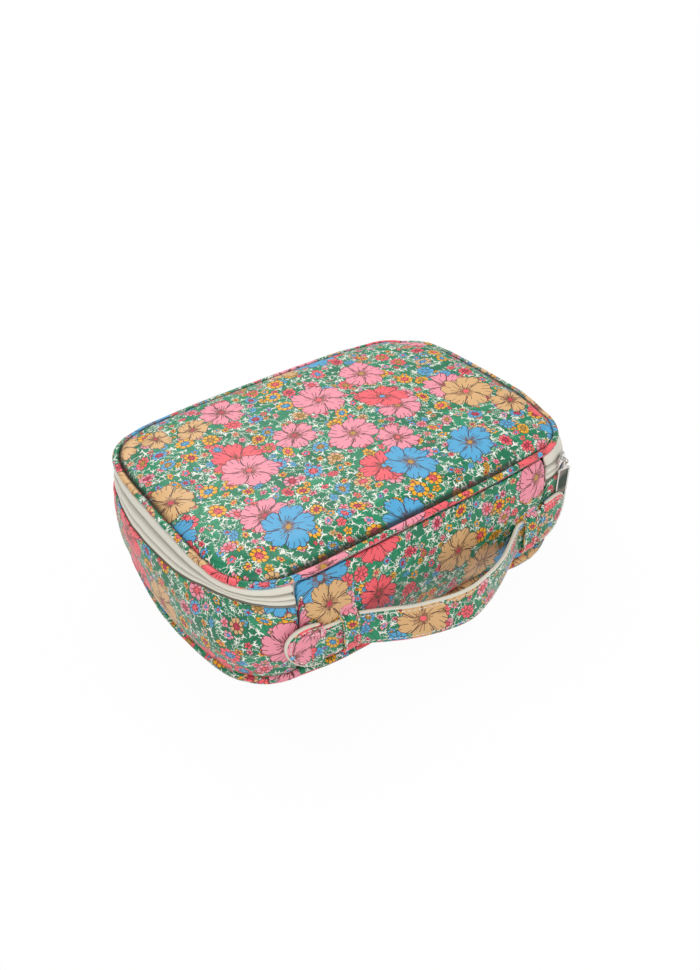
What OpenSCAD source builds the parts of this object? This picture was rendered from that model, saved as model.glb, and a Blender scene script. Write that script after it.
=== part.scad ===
// Zip-around fabric lunch case: a padded print case whose lid is hinged on the seam
// of its front panel, with a coil zip round the other three sides and a sliding handle.
// Millimetres. X runs along the long side, the handle is on the -Y side, +Z is up.
// The origin is the centre of the flat base.

/* [Case outline] */
// Length of the lid seam over the bowed ends
seam_l = 251; // [235:1:275]
// Depth of the lid seam, without the bow of the back
seam_d = 176; // [160:1:190]
// Radius of the four corners, on the lid seam
corner_r = 32; // [28:1:40]
// Half angle of the bow in each end
side_bow = 4; // [2:0.5:6]
// Half angle of the bow in the back
back_bow = 2.5; // [1:0.5:4]
// Height of the cord centre in the lid piping
case_h = 81; // [74:1:95]

/* [Wall shape] */
// How far the wall stands outside the lid seam at the base
base_out = 3.4; // [2.6:0.1:4.5]
// How far the wall stands outside the lid seam under the lid piping
top_out = 4.8; // [4:0.1:6]
// How far the padded wall swells between the two
bulge = 4; // [1:0.5:6]
// Rise of the padded lid above its seam
crown_h = 3.6; // [1:0.2:8]

/* [Layers] */
// Printed outer cloth, with its coating and backing
skin_t = 1.2; // [0.8:0.1:1.6]
// Foam wadding in the walls
foam_t = 3; // [2:0.25:4]
// Lining cloth
lining_t = 0.6; // [0.4:0.1:1]
// Stiff board in the base
board_t = 2.2; // [1.6:0.2:3]

/* [Piping] */
// Diameter of the piping round the lid
lid_cord_d = 5.6; // [4.6:0.2:6.2]
// Diameter of the piping round the base
base_cord_d = 5.2; // [4.4:0.2:6]
// Width of the piping's flat flange, inside the seam
flange_w = 6; // [4:0.5:8]
// Thickness of that flange
flange_t = 1; // [0.6:0.1:1.4]
// Thickness of the bias tape that binds the raw edges inside
binding_t = 1.3; // [0.8:0.1:1.8]

/* [Zip] */
// Drop from the cord centre of the lid piping to the middle of the zip
zip_drop = 9.2; // [8:0.2:10]
// Visible width of the lower tape
lower_band = 9.4; // [8:0.2:12]
// How far the lower tape runs behind the wall cloth
tape_lap = 4; // [3:0.5:6]
// Tape thickness
tape_t = 0.8; // [0.6:0.1:1]
// Gap between the two tapes
slit = 1.4; // [1.3:0.1:1.8]
// Swell of the tape over the coil
ridge = 0.8; // [0.4:0.1:1]
// Radius of the coil
coil_r = 1.1; // [0.8:0.1:1.3]
// Clearance between the coil and the tape that covers it
coil_gap = 0.2; // [0.2:0.05:0.3]

/* [Slider] */
// Where the closed slider stands on the front corner, as an angle about the corner centre
slider_angle = -66; // [-67:1:-50]
// Length of the slider along the zip
slider_l = 11; // [9:0.5:12]
// Width of the slider across the zip
slider_w = 7.6; // [7:0.2:8]
// Thickness of the slider's plates
plate_t = 1; // [0.8:0.1:1.2]
// Thickness of the web that joins the plates through the slit
web_t = 0.5; // [0.4:0.05:0.6]
// Radius of the arch on the slider
arch_r = 2.2; // [2.1:0.05:2.4]
// Radius of the arch's wire
arch_wire = 0.5; // [0.45:0.05:0.52]
// Radius of the link ring
ring_r = 1.8; // [1.78:0.01:1.85]
// Radius of the link ring's wire
ring_wire = 0.4; // [0.35:0.05:0.42]

/* [Puller] */
// Width of the puller
pull_w = 9.5; // [7:0.5:11]
// Length of the puller's plate
pull_l = 31; // [26:1:34]
// Thickness of the puller
pull_t = 1.4; // [1:0.1:1.6]
// Width of the raised rim round its face
pull_rim = 1; // [0.6:0.1:1.5]
// Depth of the mirror face inside the rim
pull_recess = 0.35; // [0.2:0.05:0.5]
// Radius of the hole in the puller's eye
eye_r = 0.9; // [0.8:0.05:0.95]
// Metal round that hole
eye_rim = 0.9; // [0.8:0.05:0.95]

/* [Handle] */
// Width of the strap
strap_w = 25; // [20:1:28]
// Thickness of the strap's printed face
strap_face_t = 1; // [0.6:0.1:1.4]
// Thickness of the webbing inside the strap
strap_core_t = 1.2; // [0.8:0.1:1.6]
// Thickness of the strap's printed back
strap_back_t = 0.8; // [0.5:0.1:1.2]
// Height of the strap's centre line
strap_z = 31; // [29:1:36]
// How far the handle's middle stands to the right of the case's middle
handle_x = 7; // [0:1:8]
// Distance between the two keeper loops
loop_pitch = 140; // [125:1:142]
// Width of a keeper loop
loop_w = 12; // [9:1:15]
// Thickness of a keeper loop
loop_t = 1.4; // [1:0.1:2]
// Height of each sewn foot of a keeper loop
loop_foot = 6.5; // [4.5:0.5:8]
// How far the strap bows out from its line through the loops
strap_bow = 24.5; // [20:0.5:25.5]
// Bend radius where the strap leaves a loop
strap_entry_r = 25; // [22:1:30]
// Height of an end tab
tab_h = 33; // [31:1:36]
// Length of an end tab
tab_l = 24.5; // [20:0.5:25]
// Free travel of the left end tab up to its loop
left_travel = 10; // [8:0.5:12]
// Free travel of the right end tab up to its loop
right_travel = 2.5; // [1.5:0.5:4]
// Width of the edging on the strap and tabs
edge_w = 1.4; // [1:0.1:2]
// How far the edging stands proud of the strap's face
edge_proud = 0.3; // [0.1:0.1:0.6]

/* [Fits] */
// Clearance between pieces that move past each other
gap = 0.4; // [0.3:0.05:0.5]
// Gap between the wall's fullest line and the strap
strap_gap = 0.8; // [0.7:0.1:1.2]

/* [Hidden] */

// Colours
print_green = [0.24, 0.60, 0.44];
print_coral = [0.95, 0.45, 0.47];
print_blue = [0.42, 0.70, 0.88];
zip_cream = [0.87, 0.85, 0.77];
lining_white = [0.93, 0.92, 0.88];
foam_grey = [0.80, 0.80, 0.78];
board_brown = [0.55, 0.45, 0.35];
steel_bright = [0.80, 0.80, 0.82];

// Outline of the lid seam: a straight front, four corners, bowed ends and a bowed back.
// Corner centres lie on whole hundredths, so that the swept pieces meet face to face.
function hundredths(v) = round(v * 100) / 100;
half_l = seam_l / 2;
half_d = seam_d / 2;
corner_y = half_d - corner_r;
side_r = corner_y / sin(side_bow) + corner_r;
corner_x = hundredths(half_l - side_r + (side_r - corner_r) * cos(side_bow));
side_x = corner_x - (side_r - corner_r) * cos(side_bow);
back_r = corner_x / sin(back_bow) + corner_r;
back_y = corner_y - (back_r - corner_r) * cos(back_bow);

// Facets of the small and the wide arcs
corner_fn = 96;
wide_fn = 720;
round_fn = 32;

// Piping: the cord just touches the seam line, its flange lies inside
lid_cord_r = lid_cord_d / 2;
base_cord_r = base_cord_d / 2;
seam_clear = 0.1;
lid_cord_out = lid_cord_r - seam_clear;
base_cord_out = base_cord_r;
lid_flange_z = case_h - flange_t / 2;
base_cord_z = base_cord_r + gap;
base_flange_z = base_cord_z - flange_t / 2;

// Wall line, swollen between the two pipings; all layers follow the same straight steps
wall_z0 = base_cord_z + base_cord_r;
wall_z1 = case_h - lid_cord_r - gap;
wall_steps = 8;
function wall_curve(t) = base_out + (top_out - base_out) * t + 4 * bulge * t * (1 - t);
wall_line = [for (i = [0:wall_steps])
    [wall_z0 + (wall_z1 - wall_z0) * i / wall_steps, wall_curve(i / wall_steps)]];
function wall_at(z) = lookup(z, wall_line);
function wall_heights(z0, z1) = concat(
    [z0], [for (p = wall_line) if (p[0] > z0 + 0.01 && p[0] < z1 - 0.01) p[0]], [z1]);
wall_max = max([for (p = wall_line) p[1]]);

// Zip heights
slit_z = case_h - zip_drop;
lid_tape_z0 = slit_z + slit / 2;
case_tape_z1 = slit_z - slit / 2;
gusset_z1 = case_tape_z1 - lower_band;
case_tape_z0 = gusset_z1 - tape_lap;
zip_end = 0.65; // degrees between the upper tape's ends and the front panel
ridge_w = 2 * coil_r;

// Lid layers
lid_seam_z = lid_flange_z + flange_t;
crown_w = corner_r - 8;
crown_flat = 6;
crown_steps = 6;
fold_t = tape_t;
lid_fold_z = lid_flange_z - fold_t;
lid_lining_z = lid_fold_z - lining_t - 0.6;
turn_in = -seam_clear - 2 * fold_t; // where the upper tape turns up inside the lid piping

// Base layers
base_seam_z = base_flange_z;
base_top_z = base_flange_z + flange_t;
base_edge = -seam_clear;

// Slider radii about the corner centre
band_out = wall_at(case_tape_z1) - skin_t + ridge;
outer_plate_r = corner_r + band_out + gap;
arch_foot_r = outer_plate_r + plate_t;
pull_centre_r = arch_foot_r + arch_r + 0.1;
ring_z = slit_z - (ring_r - ring_wire - arch_wire - 0.08);
pull_axis_z = ring_z - ring_r;
pull_top_z = pull_axis_z - arch_r - arch_wire - gap;
coil_in = wall_at(case_tape_z1) - skin_t - tape_t - coil_gap - 2 * coil_r;
inner_plate_r = sqrt(pow(corner_r + coil_in, 2) - pow(slider_l / 2, 2)) - gap - plate_t;

// Handle, measured outwards from its middle; its end bends and its bow are tangent
strap_t = strap_face_t + strap_core_t + strap_back_t;
strap_in = wall_max + strap_gap;
strap_mid_y = -half_d - strap_in - strap_t / 2;
grip_half = loop_pitch / 2 - loop_w / 2;
strap_angle = hundredths(2 * atan(strap_bow / grip_half));
strap_main_r = grip_half / sin(strap_angle) - strap_entry_r;
strap_main_y = strap_mid_y - strap_entry_r + (strap_main_r + strap_entry_r) * cos(strap_angle);
scarf_angle = 30;
scarf_at = 10;

// ---- Shared shapes ----

// Moves its children in two steps, so that wide radii keep their last digits
module exact_move(x, y) {
    translate([hundredths(x), hundredths(y)])
        translate([x - hundredths(x), y - hundredths(y)])
            children();
}

// One arc of the outline, swept from a flat profile of [outwards, up]
module arc_piece(centre, radius, from, to, fn) {
    exact_move(centre[0], centre[1])
        rotate_extrude(angle = to - from, start = from, $fn = fn)
            exact_move(radius, 0)
                children();
}

// The straight front of the outline, between the two vertical seams
module front_run() {
    rotate([90, 0, 90])
        linear_extrude(height = 2 * corner_x, center = true)
            translate([-half_d, 0])
                mirror([1, 0])
                    children();
}

// The rest of the outline: corners, ends and back. trim shortens it at both front seams.
module zip_run(trim = 0) {
    arc_piece([corner_x, -corner_y], corner_r, trim - 90, -side_bow, corner_fn) children();
    arc_piece([side_x, 0], side_r, -side_bow, side_bow, wide_fn) children();
    arc_piece([corner_x, corner_y], corner_r, side_bow, 90 - back_bow, corner_fn) children();
    arc_piece([0, back_y], back_r, 90 - back_bow, 90 + back_bow, wide_fn) children();
    arc_piece([-corner_x, corner_y], corner_r, 90 + back_bow, 180 - side_bow, corner_fn) children();
    arc_piece([-side_x, 0], side_r, 180 - side_bow, 180 + side_bow, wide_fn) children();
    arc_piece([-corner_x, -corner_y], corner_r, 180 + side_bow, 270 - trim, corner_fn) children();
}

// The whole outline
module full_run() {
    front_run() children();
    zip_run() children();
}

// A layer of the wall between two heights and two depths below its outer line
module wall_layer(z0, z1, depth0, depth1) {
    up = wall_heights(z0, z1);
    last = len(up) - 1;
    polygon(concat(
        [for (z = up) [wall_at(z) - depth0, z]],
        [for (i = [0:last]) [wall_at(up[last - i]) - depth1, up[last - i]]]));
}

// Points of the outline, moved outwards by out
function arc_points(centre, radius, from, to, steps) = [for (i = [0:steps - 1])
    let (a = from + (to - from) * i / steps)
    [centre[0] + radius * cos(a), centre[1] + radius * sin(a)]];

function outline(out) = concat(
    [for (i = [0:3]) [corner_x * (i / 2 - 1), -half_d - out]],
    arc_points([corner_x, -corner_y], corner_r + out, -90, -side_bow, 10),
    arc_points([side_x, 0], side_r + out, -side_bow, side_bow, 6),
    arc_points([corner_x, corner_y], corner_r + out, side_bow, 90 - back_bow, 10),
    arc_points([0, back_y], back_r + out, 90 - back_bow, 90 + back_bow, 6),
    arc_points([-corner_x, corner_y], corner_r + out, 90 + back_bow, 180 - side_bow, 10),
    arc_points([-side_x, 0], side_r + out, 180 - side_bow, 180 + side_bow, 6),
    arc_points([-corner_x, -corner_y], corner_r + out, 180 + side_bow, 270, 10));

// Flat plate that fills the outline
module plate(out, z0, z1) {
    translate([0, 0, z0])
        linear_extrude(height = z1 - z0)
            polygon(outline(out));
}

// Flat middle of a padded panel, lapping the inner end of its swept rim
module panel_middle(z0, z1) {
    plate(-crown_w - crown_flat / 2, z0, z1);
}

// Quarter ellipse of the lid's crown and the start of its flat top, from the seam inwards
function crown_line(out, z) = concat(
    [for (i = [0:crown_steps]) [
        out - (crown_w + out) * (1 - cos(90 * i / crown_steps)),
        z + crown_h * sin(90 * i / crown_steps)
    ]],
    [[-crown_w - crown_flat, z + crown_h]]);

function backwards(points) = [for (i = [len(points) - 1:-1:0]) points[i]];

// ---- Case ----

module base_panel() {
    inner = base_edge - skin_t;
    color(print_green) {
        full_run()
            polygon([
                [-crown_w - crown_flat, 0],
                [inner - 2 * skin_t, 0],
                [inner, skin_t / 6],
                [base_edge, skin_t],
                [base_edge, base_seam_z],
                [inner, base_seam_z],
                [inner, skin_t],
                [-crown_w - crown_flat, skin_t]
            ]);
        panel_middle(0, skin_t);
    }
}

module base_board() {
    color(board_brown)
        plate(-flange_w - gap, skin_t, skin_t + board_t);
}

module base_lining() {
    color(lining_white)
        plate(base_out - skin_t - foam_t, base_top_z, base_top_z + lining_t);
}

// Cord with its flat flange
module piping_profile(out, z, radius) {
    translate([out, z])
        circle(r = radius, $fn = round_fn);
    translate([-flange_w, z - flange_t / 2])
        square([flange_w + out, flange_t]);
}

module base_piping() {
    color(print_coral)
        full_run()
            piping_profile(base_cord_out, base_cord_z, base_cord_r);
}

module front_panel() {
    color(print_blue)
        front_run()
            wall_layer(wall_z0, wall_z1, 0, skin_t);
}

module front_foam() {
    color(foam_grey)
        front_run()
            wall_layer(wall_z0, wall_z1, skin_t, skin_t + foam_t);
}

module side_gusset() {
    color(print_green)
        zip_run()
            wall_layer(wall_z0, gusset_z1, 0, skin_t);
}

module gusset_foam() {
    color(foam_grey)
        zip_run()
            wall_layer(wall_z0, case_tape_z0, skin_t, skin_t + foam_t);
}

module front_lining() {
    depth = skin_t + foam_t;
    color(lining_white)
        front_run()
            wall_layer(base_top_z + lining_t, wall_z1, depth, depth + lining_t);
}

module gusset_lining() {
    depth = skin_t + foam_t;
    color(lining_white)
        zip_run()
            wall_layer(base_top_z + lining_t, case_tape_z0, depth, depth + lining_t);
}

// Bias tape over the raw edges where the lower zip tape meets foam and lining
module gusset_binding() {
    depth = skin_t + tape_t;
    color(zip_cream)
        zip_run()
            wall_layer(case_tape_z0, case_tape_z0 + binding_t + tape_lap / 2,
                depth, skin_t + foam_t + lining_t);
}

// Lower tape: behind the wall cloth at its foot, swelling over the coil at its top
module zip_tape_case() {
    color(zip_cream)
        zip_run() {
            wall_layer(case_tape_z0, case_tape_z1, skin_t, skin_t + tape_t);
            ridge_profile(case_tape_z1 - 2 * ridge_w, case_tape_z1);
        }
}

// Swell of a tape over its coil, from z0 up to z1
module ridge_profile(z0, z1) {
    mid = (z0 + z1) / 2;
    out = wall_at(mid) - skin_t - 0.1;
    polygon([
        [wall_at(z0) - skin_t - 0.1, z0],
        [out + ridge * 0.75, z0 + (z1 - z0) * 0.2],
        [out + ridge, mid],
        [out + ridge * 0.75, z1 - (z1 - z0) * 0.2],
        [wall_at(z1) - skin_t - 0.1, z1]
    ]);
}

// The coil behind its tape
module coil_profile(z) {
    translate([wall_at(z) - skin_t - tape_t - coil_gap - coil_r, z])
        circle(r = coil_r, $fn = round_fn);
}

module zip_coil_case() {
    color(lining_white)
        zip_run()
            coil_profile(case_tape_z1 - coil_r);
}

// Keeper loop: a band over the strap, with a foot sewn to the wall above and below it
module keeper_loop(side) {
    foot = strap_w / 2 + loop_foot;
    face = strap_in + strap_t + edge_proud + gap + loop_t;
    slot_half = strap_w / 2 + gap;
    color(print_blue)
        translate([handle_x + side * loop_pitch / 2 - loop_w / 2, 0, 0])
            rotate([90, 0, 90])
                linear_extrude(height = loop_w)
                    translate([-half_d, 0])
                        mirror([1, 0])
                            difference() {
                                polygon([
                                    [0, strap_z - foot],
                                    [wall_at(strap_z - foot) + loop_t, strap_z - foot],
                                    [face - loop_t, strap_z - slot_half - loop_t],
                                    [face, strap_z - slot_half + loop_t],
                                    [face, strap_z + slot_half - loop_t],
                                    [face - loop_t, strap_z + slot_half + loop_t],
                                    [wall_at(strap_z + foot) + loop_t, strap_z + foot],
                                    [0, strap_z + foot]
                                ]);
                                translate([0, strap_z - slot_half])
                                    square([face - loop_t, 2 * slot_half]);
                                wall_layer(wall_z0, wall_z1, 0, wall_max + loop_t);
                            }
}

module loop_left() {
    keeper_loop(-1);
}

module loop_right() {
    keeper_loop(1);
}

// ---- Lid ----

module lid_panel() {
    outer = crown_line(-seam_clear, lid_seam_z + skin_t);
    inner = crown_line(-seam_clear - skin_t, lid_seam_z);
    top = lid_seam_z + crown_h;
    color(print_green) {
        full_run()
            polygon(concat([[-seam_clear, lid_seam_z]], outer, backwards(inner)));
        panel_middle(top, top + skin_t);
    }
}

module lid_foam() {
    edge = -flange_w - binding_t - gap;
    foot = lid_lining_z + lining_t;
    color(foam_grey) {
        full_run()
            polygon(concat(
                [[-crown_w - crown_flat, foot], [edge, foot], [edge, lid_seam_z]],
                crown_line(-seam_clear - skin_t, lid_seam_z)));
        panel_middle(foot, lid_seam_z + crown_h);
    }
}

module lid_lining() {
    color(lining_white)
        plate(turn_in - gap, lid_lining_z, lid_lining_z + lining_t);
}

module lid_piping() {
    color(print_coral)
        full_run()
            piping_profile(lid_cord_out, case_h, lid_cord_r);
}

module lid_binding() {
    color(zip_cream)
        full_run()
            translate([-flange_w - binding_t, lid_lining_z + lining_t])
                square([binding_t, lid_seam_z - lid_lining_z - lining_t]);
}

// Upper tape: hangs from the lid seam, folded under the piping and in along its flange
module zip_tape_lid() {
    fold_z = case_h - lid_cord_r - fold_t;
    color(zip_cream)
        zip_run(zip_end) {
            wall_layer(lid_tape_z0, fold_z, skin_t, skin_t + tape_t);
            polygon([
                [turn_in, fold_z],
                [wall_at(fold_z) - skin_t, fold_z],
                [wall_at(fold_z) - skin_t, fold_z + fold_t],
                [turn_in + fold_t, fold_z + fold_t],
                [turn_in + fold_t, lid_flange_z],
                [-flange_w, lid_flange_z],
                [-flange_w, lid_fold_z],
                [turn_in, lid_fold_z]
            ]);
        }
}

module zip_coil_lid() {
    color(lining_white)
        zip_run(zip_end)
            coil_profile(lid_tape_z0 + coil_r);
}

// ---- Zip slider and puller ----

// Puts its children on the front corner's centre, with X pointing out through the slider
module at_slider() {
    translate([corner_x, -corner_y, 0])
        rotate([0, 0, slider_angle])
            children();
}

// A slider plate as seen from outside: round nose, straight flanks, narrower tail
module slider_plate(radius, z0, z1) {
    nose = slider_w / 2;
    translate([radius, 0, slit_z])
        rotate([90, 0, 90])
            linear_extrude(height = plate_t)
                intersection() {
                    union() {
                        translate([slider_l / 2 - nose, 0])
                            circle(r = nose, $fn = round_fn);
                        polygon([
                            [slider_l / 2 - nose, -nose],
                            [-slider_l / 2, -nose * 0.7],
                            [-slider_l / 2, nose * 0.7],
                            [slider_l / 2 - nose, nose]
                        ]);
                    }
                    translate([-slider_l, z0 - slit_z])
                        square([2 * slider_l, z1 - z0]);
                }
}

module zip_slider() {
    web_l = 3;
    color(steel_bright)
        at_slider() {
            slider_plate(outer_plate_r, slit_z - slider_w, slit_z + slider_w);
            slider_plate(inner_plate_r, slit_z - slider_w, slit_z + web_t / 2);
            translate([inner_plate_r, slider_l / 2 - web_l - 1, slit_z - web_t / 2])
                cube([outer_plate_r + plate_t - inner_plate_r, web_l, web_t]);
            translate([arch_foot_r, 0, slit_z])
                rotate([0, 0, -90])
                    rotate_extrude(angle = 180, $fn = round_fn * 2)
                        translate([arch_r, 0])
                            circle(r = arch_wire, $fn = round_fn);
        }
}

// Link ring that hangs on the arch and carries the puller
module slider_ring() {
    color(steel_bright)
        at_slider()
            translate([pull_centre_r, 0, ring_z])
                rotate([90, 0, 0])
                    rotate_extrude($fn = round_fn * 2)
                        translate([ring_r, 0])
                            circle(r = ring_wire, $fn = round_fn);
}

// Puller: a flat eye on the ring and a rimmed plate below it
module zip_puller() {
    eye_out = eye_r + eye_rim;
    neck_half = eye_r + eye_rim * 0.65;
    color(steel_bright)
        at_slider()
            translate([pull_centre_r - pull_t / 2, 0, 0])
                rotate([90, 0, 90])
                    difference() {
                        linear_extrude(height = pull_t) {
                            translate([0, pull_axis_z])
                                circle(r = eye_out, $fn = round_fn);
                            translate([-neck_half, pull_top_z - eye_rim])
                                square([2 * neck_half, pull_axis_z - pull_top_z + eye_rim]);
                            translate([-pull_w / 2, pull_top_z - pull_l])
                                square([pull_w, pull_l]);
                        }
                        translate([0, pull_axis_z, -pull_t])
                            cylinder(r = eye_r, h = 3 * pull_t, $fn = round_fn);
                        translate([
                            -pull_w / 2 + pull_rim,
                            pull_top_z - pull_l + pull_rim,
                            pull_t - pull_recess
                        ])
                            cube([pull_w - 2 * pull_rim, pull_l - 2 * pull_rim, pull_t]);
                    }
}

// ---- Handle ----

// Puts its children on one side of the handle's middle, measured outwards along X
module handle_side(side) {
    translate([handle_x, 0, 0])
        mirror([side < 0 ? 1 : 0, 0, 0])
            children();
}

// Bend where the strap leaves a loop; deep0 and deep1 are measured outwards from its middle
module strap_entry(deep0, deep1, z0, z1, sweep) {
    translate([grip_half, strap_mid_y - strap_entry_r, 0])
        rotate_extrude(angle = sweep, start = 90, $fn = wide_fn)
            translate([strap_entry_r - deep1, z0])
                square([deep1 - deep0, z1 - z0]);
}

// Space on one side of the slanted joint between the grip and an end tab's neck
module scarf_space(shift, deep) {
    translate([
        grip_half - strap_entry_r * sin(scarf_at),
        strap_mid_y - strap_entry_r * (1 - cos(scarf_at)),
        strap_z - strap_w
    ])
        rotate([0, 0, -scarf_angle])
            translate([-strap_w, shift, 0])
                cube([2 * strap_w, deep, 2 * strap_w]);
}

// The bowed strap between the two slanted joints
module grip_layer(deep0, deep1, z0, z1) {
    exact_move(handle_x, strap_main_y)
        rotate_extrude(angle = 2 * strap_angle, start = 270 - strap_angle, $fn = wide_fn)
            exact_move(strap_main_r + deep0, 0)
                translate([0, z0])
                    square([deep1 - deep0, z1 - z0]);
    for (side = [-1, 1])
        handle_side(side)
            difference() {
                strap_entry(deep0, deep1, z0, z1, strap_angle);
                scarf_space(-gap / 2, strap_w);
            }
}

// The straight neck of an end tab, through its loop and up to the slanted joint
module neck_layer(travel, deep0, deep1, z0, z1) {
    shoulder = loop_pitch / 2 + loop_w / 2 + travel;
    difference() {
        union() {
            translate([grip_half, strap_mid_y - deep1, z0])
                cube([shoulder - grip_half, deep1 - deep0, z1 - z0]);
            strap_entry(deep0, deep1, z0, z1, 2 * scarf_at + 5);
        }
        scarf_space(gap / 2 - strap_w, strap_w);
    }
}

function strap_edge_z(side, inset) = strap_z + side * (strap_w / 2 - inset);

module strap_face() {
    color(print_green)
        grip_layer(strap_t / 2 - strap_face_t, strap_t / 2,
            strap_edge_z(-1, edge_w), strap_edge_z(1, edge_w));
}

module strap_core() {
    color(foam_grey)
        grip_layer(strap_back_t - strap_t / 2, strap_t / 2 - strap_face_t,
            strap_edge_z(-1, edge_w), strap_edge_z(1, edge_w));
}

module strap_back() {
    color(print_green)
        grip_layer(-strap_t / 2, strap_back_t - strap_t / 2,
            strap_edge_z(-1, edge_w), strap_edge_z(1, edge_w));
}

module strap_edging() {
    color(zip_cream) {
        grip_layer(-strap_t / 2, strap_t / 2 + edge_proud,
            strap_edge_z(-1, 0), strap_edge_z(-1, edge_w));
        grip_layer(-strap_t / 2, strap_t / 2 + edge_proud,
            strap_edge_z(1, edge_w), strap_edge_z(1, 0));
    }
}

// Outline of an end tab: square shoulders by the loop and a round far end
module tab_outline(travel, inset) {
    shoulder = loop_pitch / 2 + loop_w / 2 + travel;
    radius = tab_h / 2 - inset;
    reach = tab_l - tab_h / 2;
    intersection() {
        union() {
            translate([shoulder + reach, strap_z])
                circle(r = radius, $fn = corner_fn);
            translate([shoulder, strap_z - radius])
                square([reach, 2 * radius]);
        }
        translate([shoulder + inset, strap_z - tab_h])
            square([tab_l + tab_h, 2 * tab_h]);
    }
}

module tab_slab(thick) {
    translate([0, strap_mid_y + strap_t / 2, 0])
        rotate([90, 0, 0])
            linear_extrude(height = thick)
                children();
}

module end_tab(side, travel) {
    color(print_blue)
        handle_side(side) {
            tab_slab(strap_t)
                tab_outline(travel, edge_w);
            neck_layer(travel + edge_w, -strap_t / 2, strap_t / 2,
                strap_edge_z(-1, edge_w), strap_edge_z(1, edge_w));
        }
}

module end_tab_edging(side, travel) {
    color(zip_cream)
        handle_side(side) {
            tab_slab(strap_t + edge_proud)
                difference() {
                    tab_outline(travel, 0);
                    tab_outline(travel, edge_w);
                    translate([0, strap_edge_z(-1, edge_w)])
                        square([loop_pitch / 2 + loop_w / 2 + travel + edge_w,
                            strap_w - 2 * edge_w]);
                }
            neck_layer(travel, -strap_t / 2, strap_t / 2 + edge_proud,
                strap_edge_z(-1, 0), strap_edge_z(-1, edge_w));
            neck_layer(travel, -strap_t / 2, strap_t / 2 + edge_proud,
                strap_edge_z(1, edge_w), strap_edge_z(1, 0));
        }
}

module tab_left() {
    end_tab(-1, left_travel);
}

module tab_edging_left() {
    end_tab_edging(-1, left_travel);
}

module tab_right() {
    end_tab(1, right_travel);
}

module tab_edging_right() {
    end_tab_edging(1, right_travel);
}

base_panel();
base_board();
base_lining();
base_piping();
front_panel();
front_foam();
side_gusset();
gusset_foam();
front_lining();
gusset_lining();
gusset_binding();
zip_tape_case();
zip_coil_case();
loop_left();
loop_right();
lid_panel();
lid_foam();
lid_lining();
lid_piping();
lid_binding();
zip_tape_lid();
zip_coil_lid();
zip_slider();
slider_ring();
zip_puller();
strap_face();
strap_core();
strap_back();
strap_edging();
tab_left();
tab_edging_left();
tab_right();
tab_edging_right();
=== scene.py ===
import math

import bmesh
import bpy
import numpy as np
from mathutils import Matrix, Vector, noise


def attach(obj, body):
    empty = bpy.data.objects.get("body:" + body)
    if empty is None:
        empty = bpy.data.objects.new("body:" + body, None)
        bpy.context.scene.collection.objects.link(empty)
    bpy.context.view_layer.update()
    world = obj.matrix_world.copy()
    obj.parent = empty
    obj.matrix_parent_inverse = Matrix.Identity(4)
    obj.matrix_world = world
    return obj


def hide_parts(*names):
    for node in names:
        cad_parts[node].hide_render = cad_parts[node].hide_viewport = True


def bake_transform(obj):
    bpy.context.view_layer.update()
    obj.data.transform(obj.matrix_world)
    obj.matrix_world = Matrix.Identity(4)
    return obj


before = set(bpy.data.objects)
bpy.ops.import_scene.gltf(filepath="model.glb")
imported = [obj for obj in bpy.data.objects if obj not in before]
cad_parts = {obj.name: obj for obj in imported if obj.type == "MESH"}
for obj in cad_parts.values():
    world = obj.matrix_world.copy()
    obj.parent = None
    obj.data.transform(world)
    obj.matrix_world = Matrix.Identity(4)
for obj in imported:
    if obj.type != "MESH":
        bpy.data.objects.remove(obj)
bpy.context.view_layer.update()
mm = 0.001

# The sewn outline, in millimetres, in the case's own frame
caseShape = {
    "length": 251, "depth": 176, "cornerRadius": 32, "sideBow": 4, "backBow": 2.5,
    "baseOut": 3.4, "topOut": 4.8, "bulge": 4, "wallBottom": 5.6, "wallTop": 77.8,
    "cordHeight": 81, "lidCord": 2.05, "lidCordOut": 2.5, "baseCord": 2.6, "baseCordHeight": 3.0,
    "slit": 71.8, "gussetTop": 61.7, "crown": 4.8, "crownWidth": 24, "lidSeam": 81.4,
    "foamTop": 57.7, "frontFoamTop": 77.4,
}


def onHundredths(value):
    return round(value * 100) / 100


def makeOutline(shape):
    r = shape["cornerRadius"]
    sideBow, backBow = math.radians(shape["sideBow"]), math.radians(shape["backBow"])
    cornerY = shape["depth"] / 2 - r
    sideRadius = cornerY / math.sin(sideBow) + r
    reach = (sideRadius - r) * math.cos(sideBow)
    cornerX = onHundredths(shape["length"] / 2 - sideRadius + reach)
    backRadius = cornerX / math.sin(backBow) + r
    backY = cornerY - (backRadius - r) * math.cos(backBow)
    sideX = cornerX - reach
    a, b = shape["sideBow"], shape["backBow"]
    arcs = {
        "frontRight": ((cornerX, -cornerY), r, -90, -a),
        "right": ((sideX, 0), sideRadius, -a, a),
        "backRight": ((cornerX, cornerY), r, a, 90 - b),
        "back": ((0, backY), backRadius, 90 - b, 90 + b),
        "backLeft": ((-cornerX, cornerY), r, 90 + b, 180 - a),
        "left": ((-sideX, 0), sideRadius, 180 - a, 180 + a),
        "frontLeft": ((-cornerX, -cornerY), r, 180 + a, 270),
    }
    return arcs, cornerX, shape["depth"] / 2


arcs, cornerX, frontY = makeOutline(caseShape)
zipOrder = ["frontRight", "right", "backRight", "back", "backLeft", "left", "frontLeft"]


def wallOut(z):
    s = caseShape
    t = (z - s["wallBottom"]) / (s["wallTop"] - s["wallBottom"])
    return s["baseOut"] + (s["topOut"] - s["baseOut"]) * t + 4 * s["bulge"] * t * (1 - t)


def lengthsAlong(line, wrap=False):
    closed = np.concatenate([line, line[:1]]) if wrap else line
    return np.concatenate([[0], np.cumsum(np.linalg.norm(np.diff(closed, axis=0), axis=1))])


def directions(path):
    along = np.gradient(path, axis=0)
    return along / np.linalg.norm(along, axis=1)[:, None]


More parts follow.
